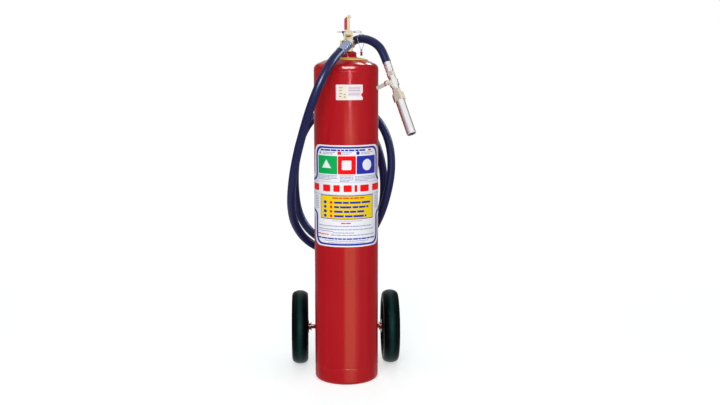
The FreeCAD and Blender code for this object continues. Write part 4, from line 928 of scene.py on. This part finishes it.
    def wrap(self, name, ink, low, high):
        """Cuts the flat print every 5 mm, makes it a thin layer and bends it round the barrel."""
        piece = bpy.context.object
        piece.update_from_editmode()
        sides = [vertex.co.x for vertex in piece.data.vertices]
        step = 5 * MM
        for i in range(math.ceil(min(sides) / step), math.floor(max(sides) / step) + 1):
            bpy.ops.mesh.select_all(action="SELECT")
            bpy.ops.mesh.bisect(plane_co=(i * step, 0, 0), plane_no=(1, 0, 0))
        bpy.ops.mesh.select_all(action="SELECT")
        bpy.ops.transform.translate(value=(0, -low, 0))
        bpy.ops.mesh.extrude_region_move(TRANSFORM_OT_translate={"value": (0, low - high, 0)})
        outward(piece)
        bend = piece.modifiers.new("bend", "SIMPLE_DEFORM")
        bend.deform_method = "BEND"
        bend.deform_axis = "Z"
        bend.angle = (max(sides) - min(sides)) / BARREL_RADIUS
        bpy.ops.object.modifier_apply(modifier=bend.name)
        piece.location = (BARREL_AXIS.x, BARREL_AXIS.y - BARREL_RADIUS, 0.0)
        finish_piece(piece, name, self.inks[ink], "cylinder",
                     30)


class OBJECT_OT_extinguisher_fittings(bpy.types.Operator):
    """Gives the valve, nozzle, wheels and carriage their metals and rubbers"""

    bl_idname = "object.extinguisher_fittings"
    bl_label = "Fittings"

    def execute(self, context):
        table = {
            "brass": ["valve_body", "bonnet", "lever", "outlet_elbow"],
            "turned brass": ["burst_plug", "spring_retainer", "stem"],
            "nut brass": ["coupling_nut", "adapter_nut", "packing_nut", "nozzle_body"],
            "nickel": ["ball_valve_body", "ball", "ball_stem", "lever_nut", "ball_lever"],
            "zinc": ["lever_pin", "safety_pin", "pull_ring", "stem_spring", "split_pins",
                     "rack_screws"],
            "aluminium": ["nozzle_tube"],
            "tyre": ["tyre_left", "tyre_right"],
            "wheel": ["wheel_rim_left", "wheel_rim_right", "wheel_web_left", "wheel_web_right",
                      "wheel_hub_left", "wheel_hub_right"],
            "nylon": ["wheel_bush_left", "wheel_bush_right"],
            "enamel": ["axle", "axle_washers"],
            "black steel": ["axle_bracket_left", "axle_bracket_right", "carriage_plate",
                            "handle_frame", "hose_saddle", "rack_bracket", "hose_guide"],
            "grip rubber": ["handle_grip"],
            "red plastic": ["lever_grip"],
            "tag": ["red_tag"],
            "ferrule": ["wire_loop"],
            "blue plastic": ["tamper_seal"],
            "rubber": ["neck_gasket", "stem_seal"],
            "ptfe": ["ball_seats"],
            "dip tube": ["dip_tube"],
        }
        for finish, names in table.items():
            dress(names, FINISHES[finish])
        return {"FINISHED"}


# ---------------------------------------------------------------- panel


class VIEW3D_PT_extinguisher(bpy.types.Panel):
    """Lists the sizes, the colours and the steps"""

    bl_label = "Extinguisher"
    bl_idname = "VIEW3D_PT_extinguisher"
    bl_space_type = "VIEW_3D"
    bl_region_type = "UI"
    bl_category = "Extinguisher"

    def draw(self, context):
        for name, group in SETTINGS.items():
            box = self.layout.box()
            settings = getattr(context.scene, name)
            for field in group.__annotations__:
                box.prop(settings, field)
        for step in STEPS:
            self.layout.operator(step.bl_idname)


SETTINGS = {
    "extinguisher_stage": StageSettings,
    "extinguisher_paint": PaintSettings,
    "extinguisher_grip": GripSettings,
    "extinguisher_label": LabelSettings,
}
STEPS = (
    OBJECT_OT_extinguisher_finishes,
    OBJECT_OT_extinguisher_hose,
    OBJECT_OT_extinguisher_cylinder,
    OBJECT_OT_extinguisher_grip,
    OBJECT_OT_extinguisher_labels,
    OBJECT_OT_extinguisher_fittings,
    OBJECT_OT_extinguisher_stage,
)
CLASSES = (*SETTINGS.values(), *STEPS, VIEW3D_PT_extinguisher)


def register():
    """Registers the classes and hangs their settings on the scene."""
    for item in CLASSES:
        bpy.utils.register_class(item)
    for name, group in SETTINGS.items():
        setattr(bpy.types.Scene, name, bpy.props.PointerProperty(type=group))


def unregister():
    """Takes the settings and the classes away again."""
    for name in SETTINGS:
        delattr(bpy.types.Scene, name)
    for item in reversed(CLASSES):
        bpy.utils.unregister_class(item)


def main():
    """Registers the add-on and runs its steps in order."""
    register()
    for step in STEPS:
        group, name = step.bl_idname.split(".")
        getattr(getattr(bpy.ops, group), name)()


if __name__ == "__main__":
    main()
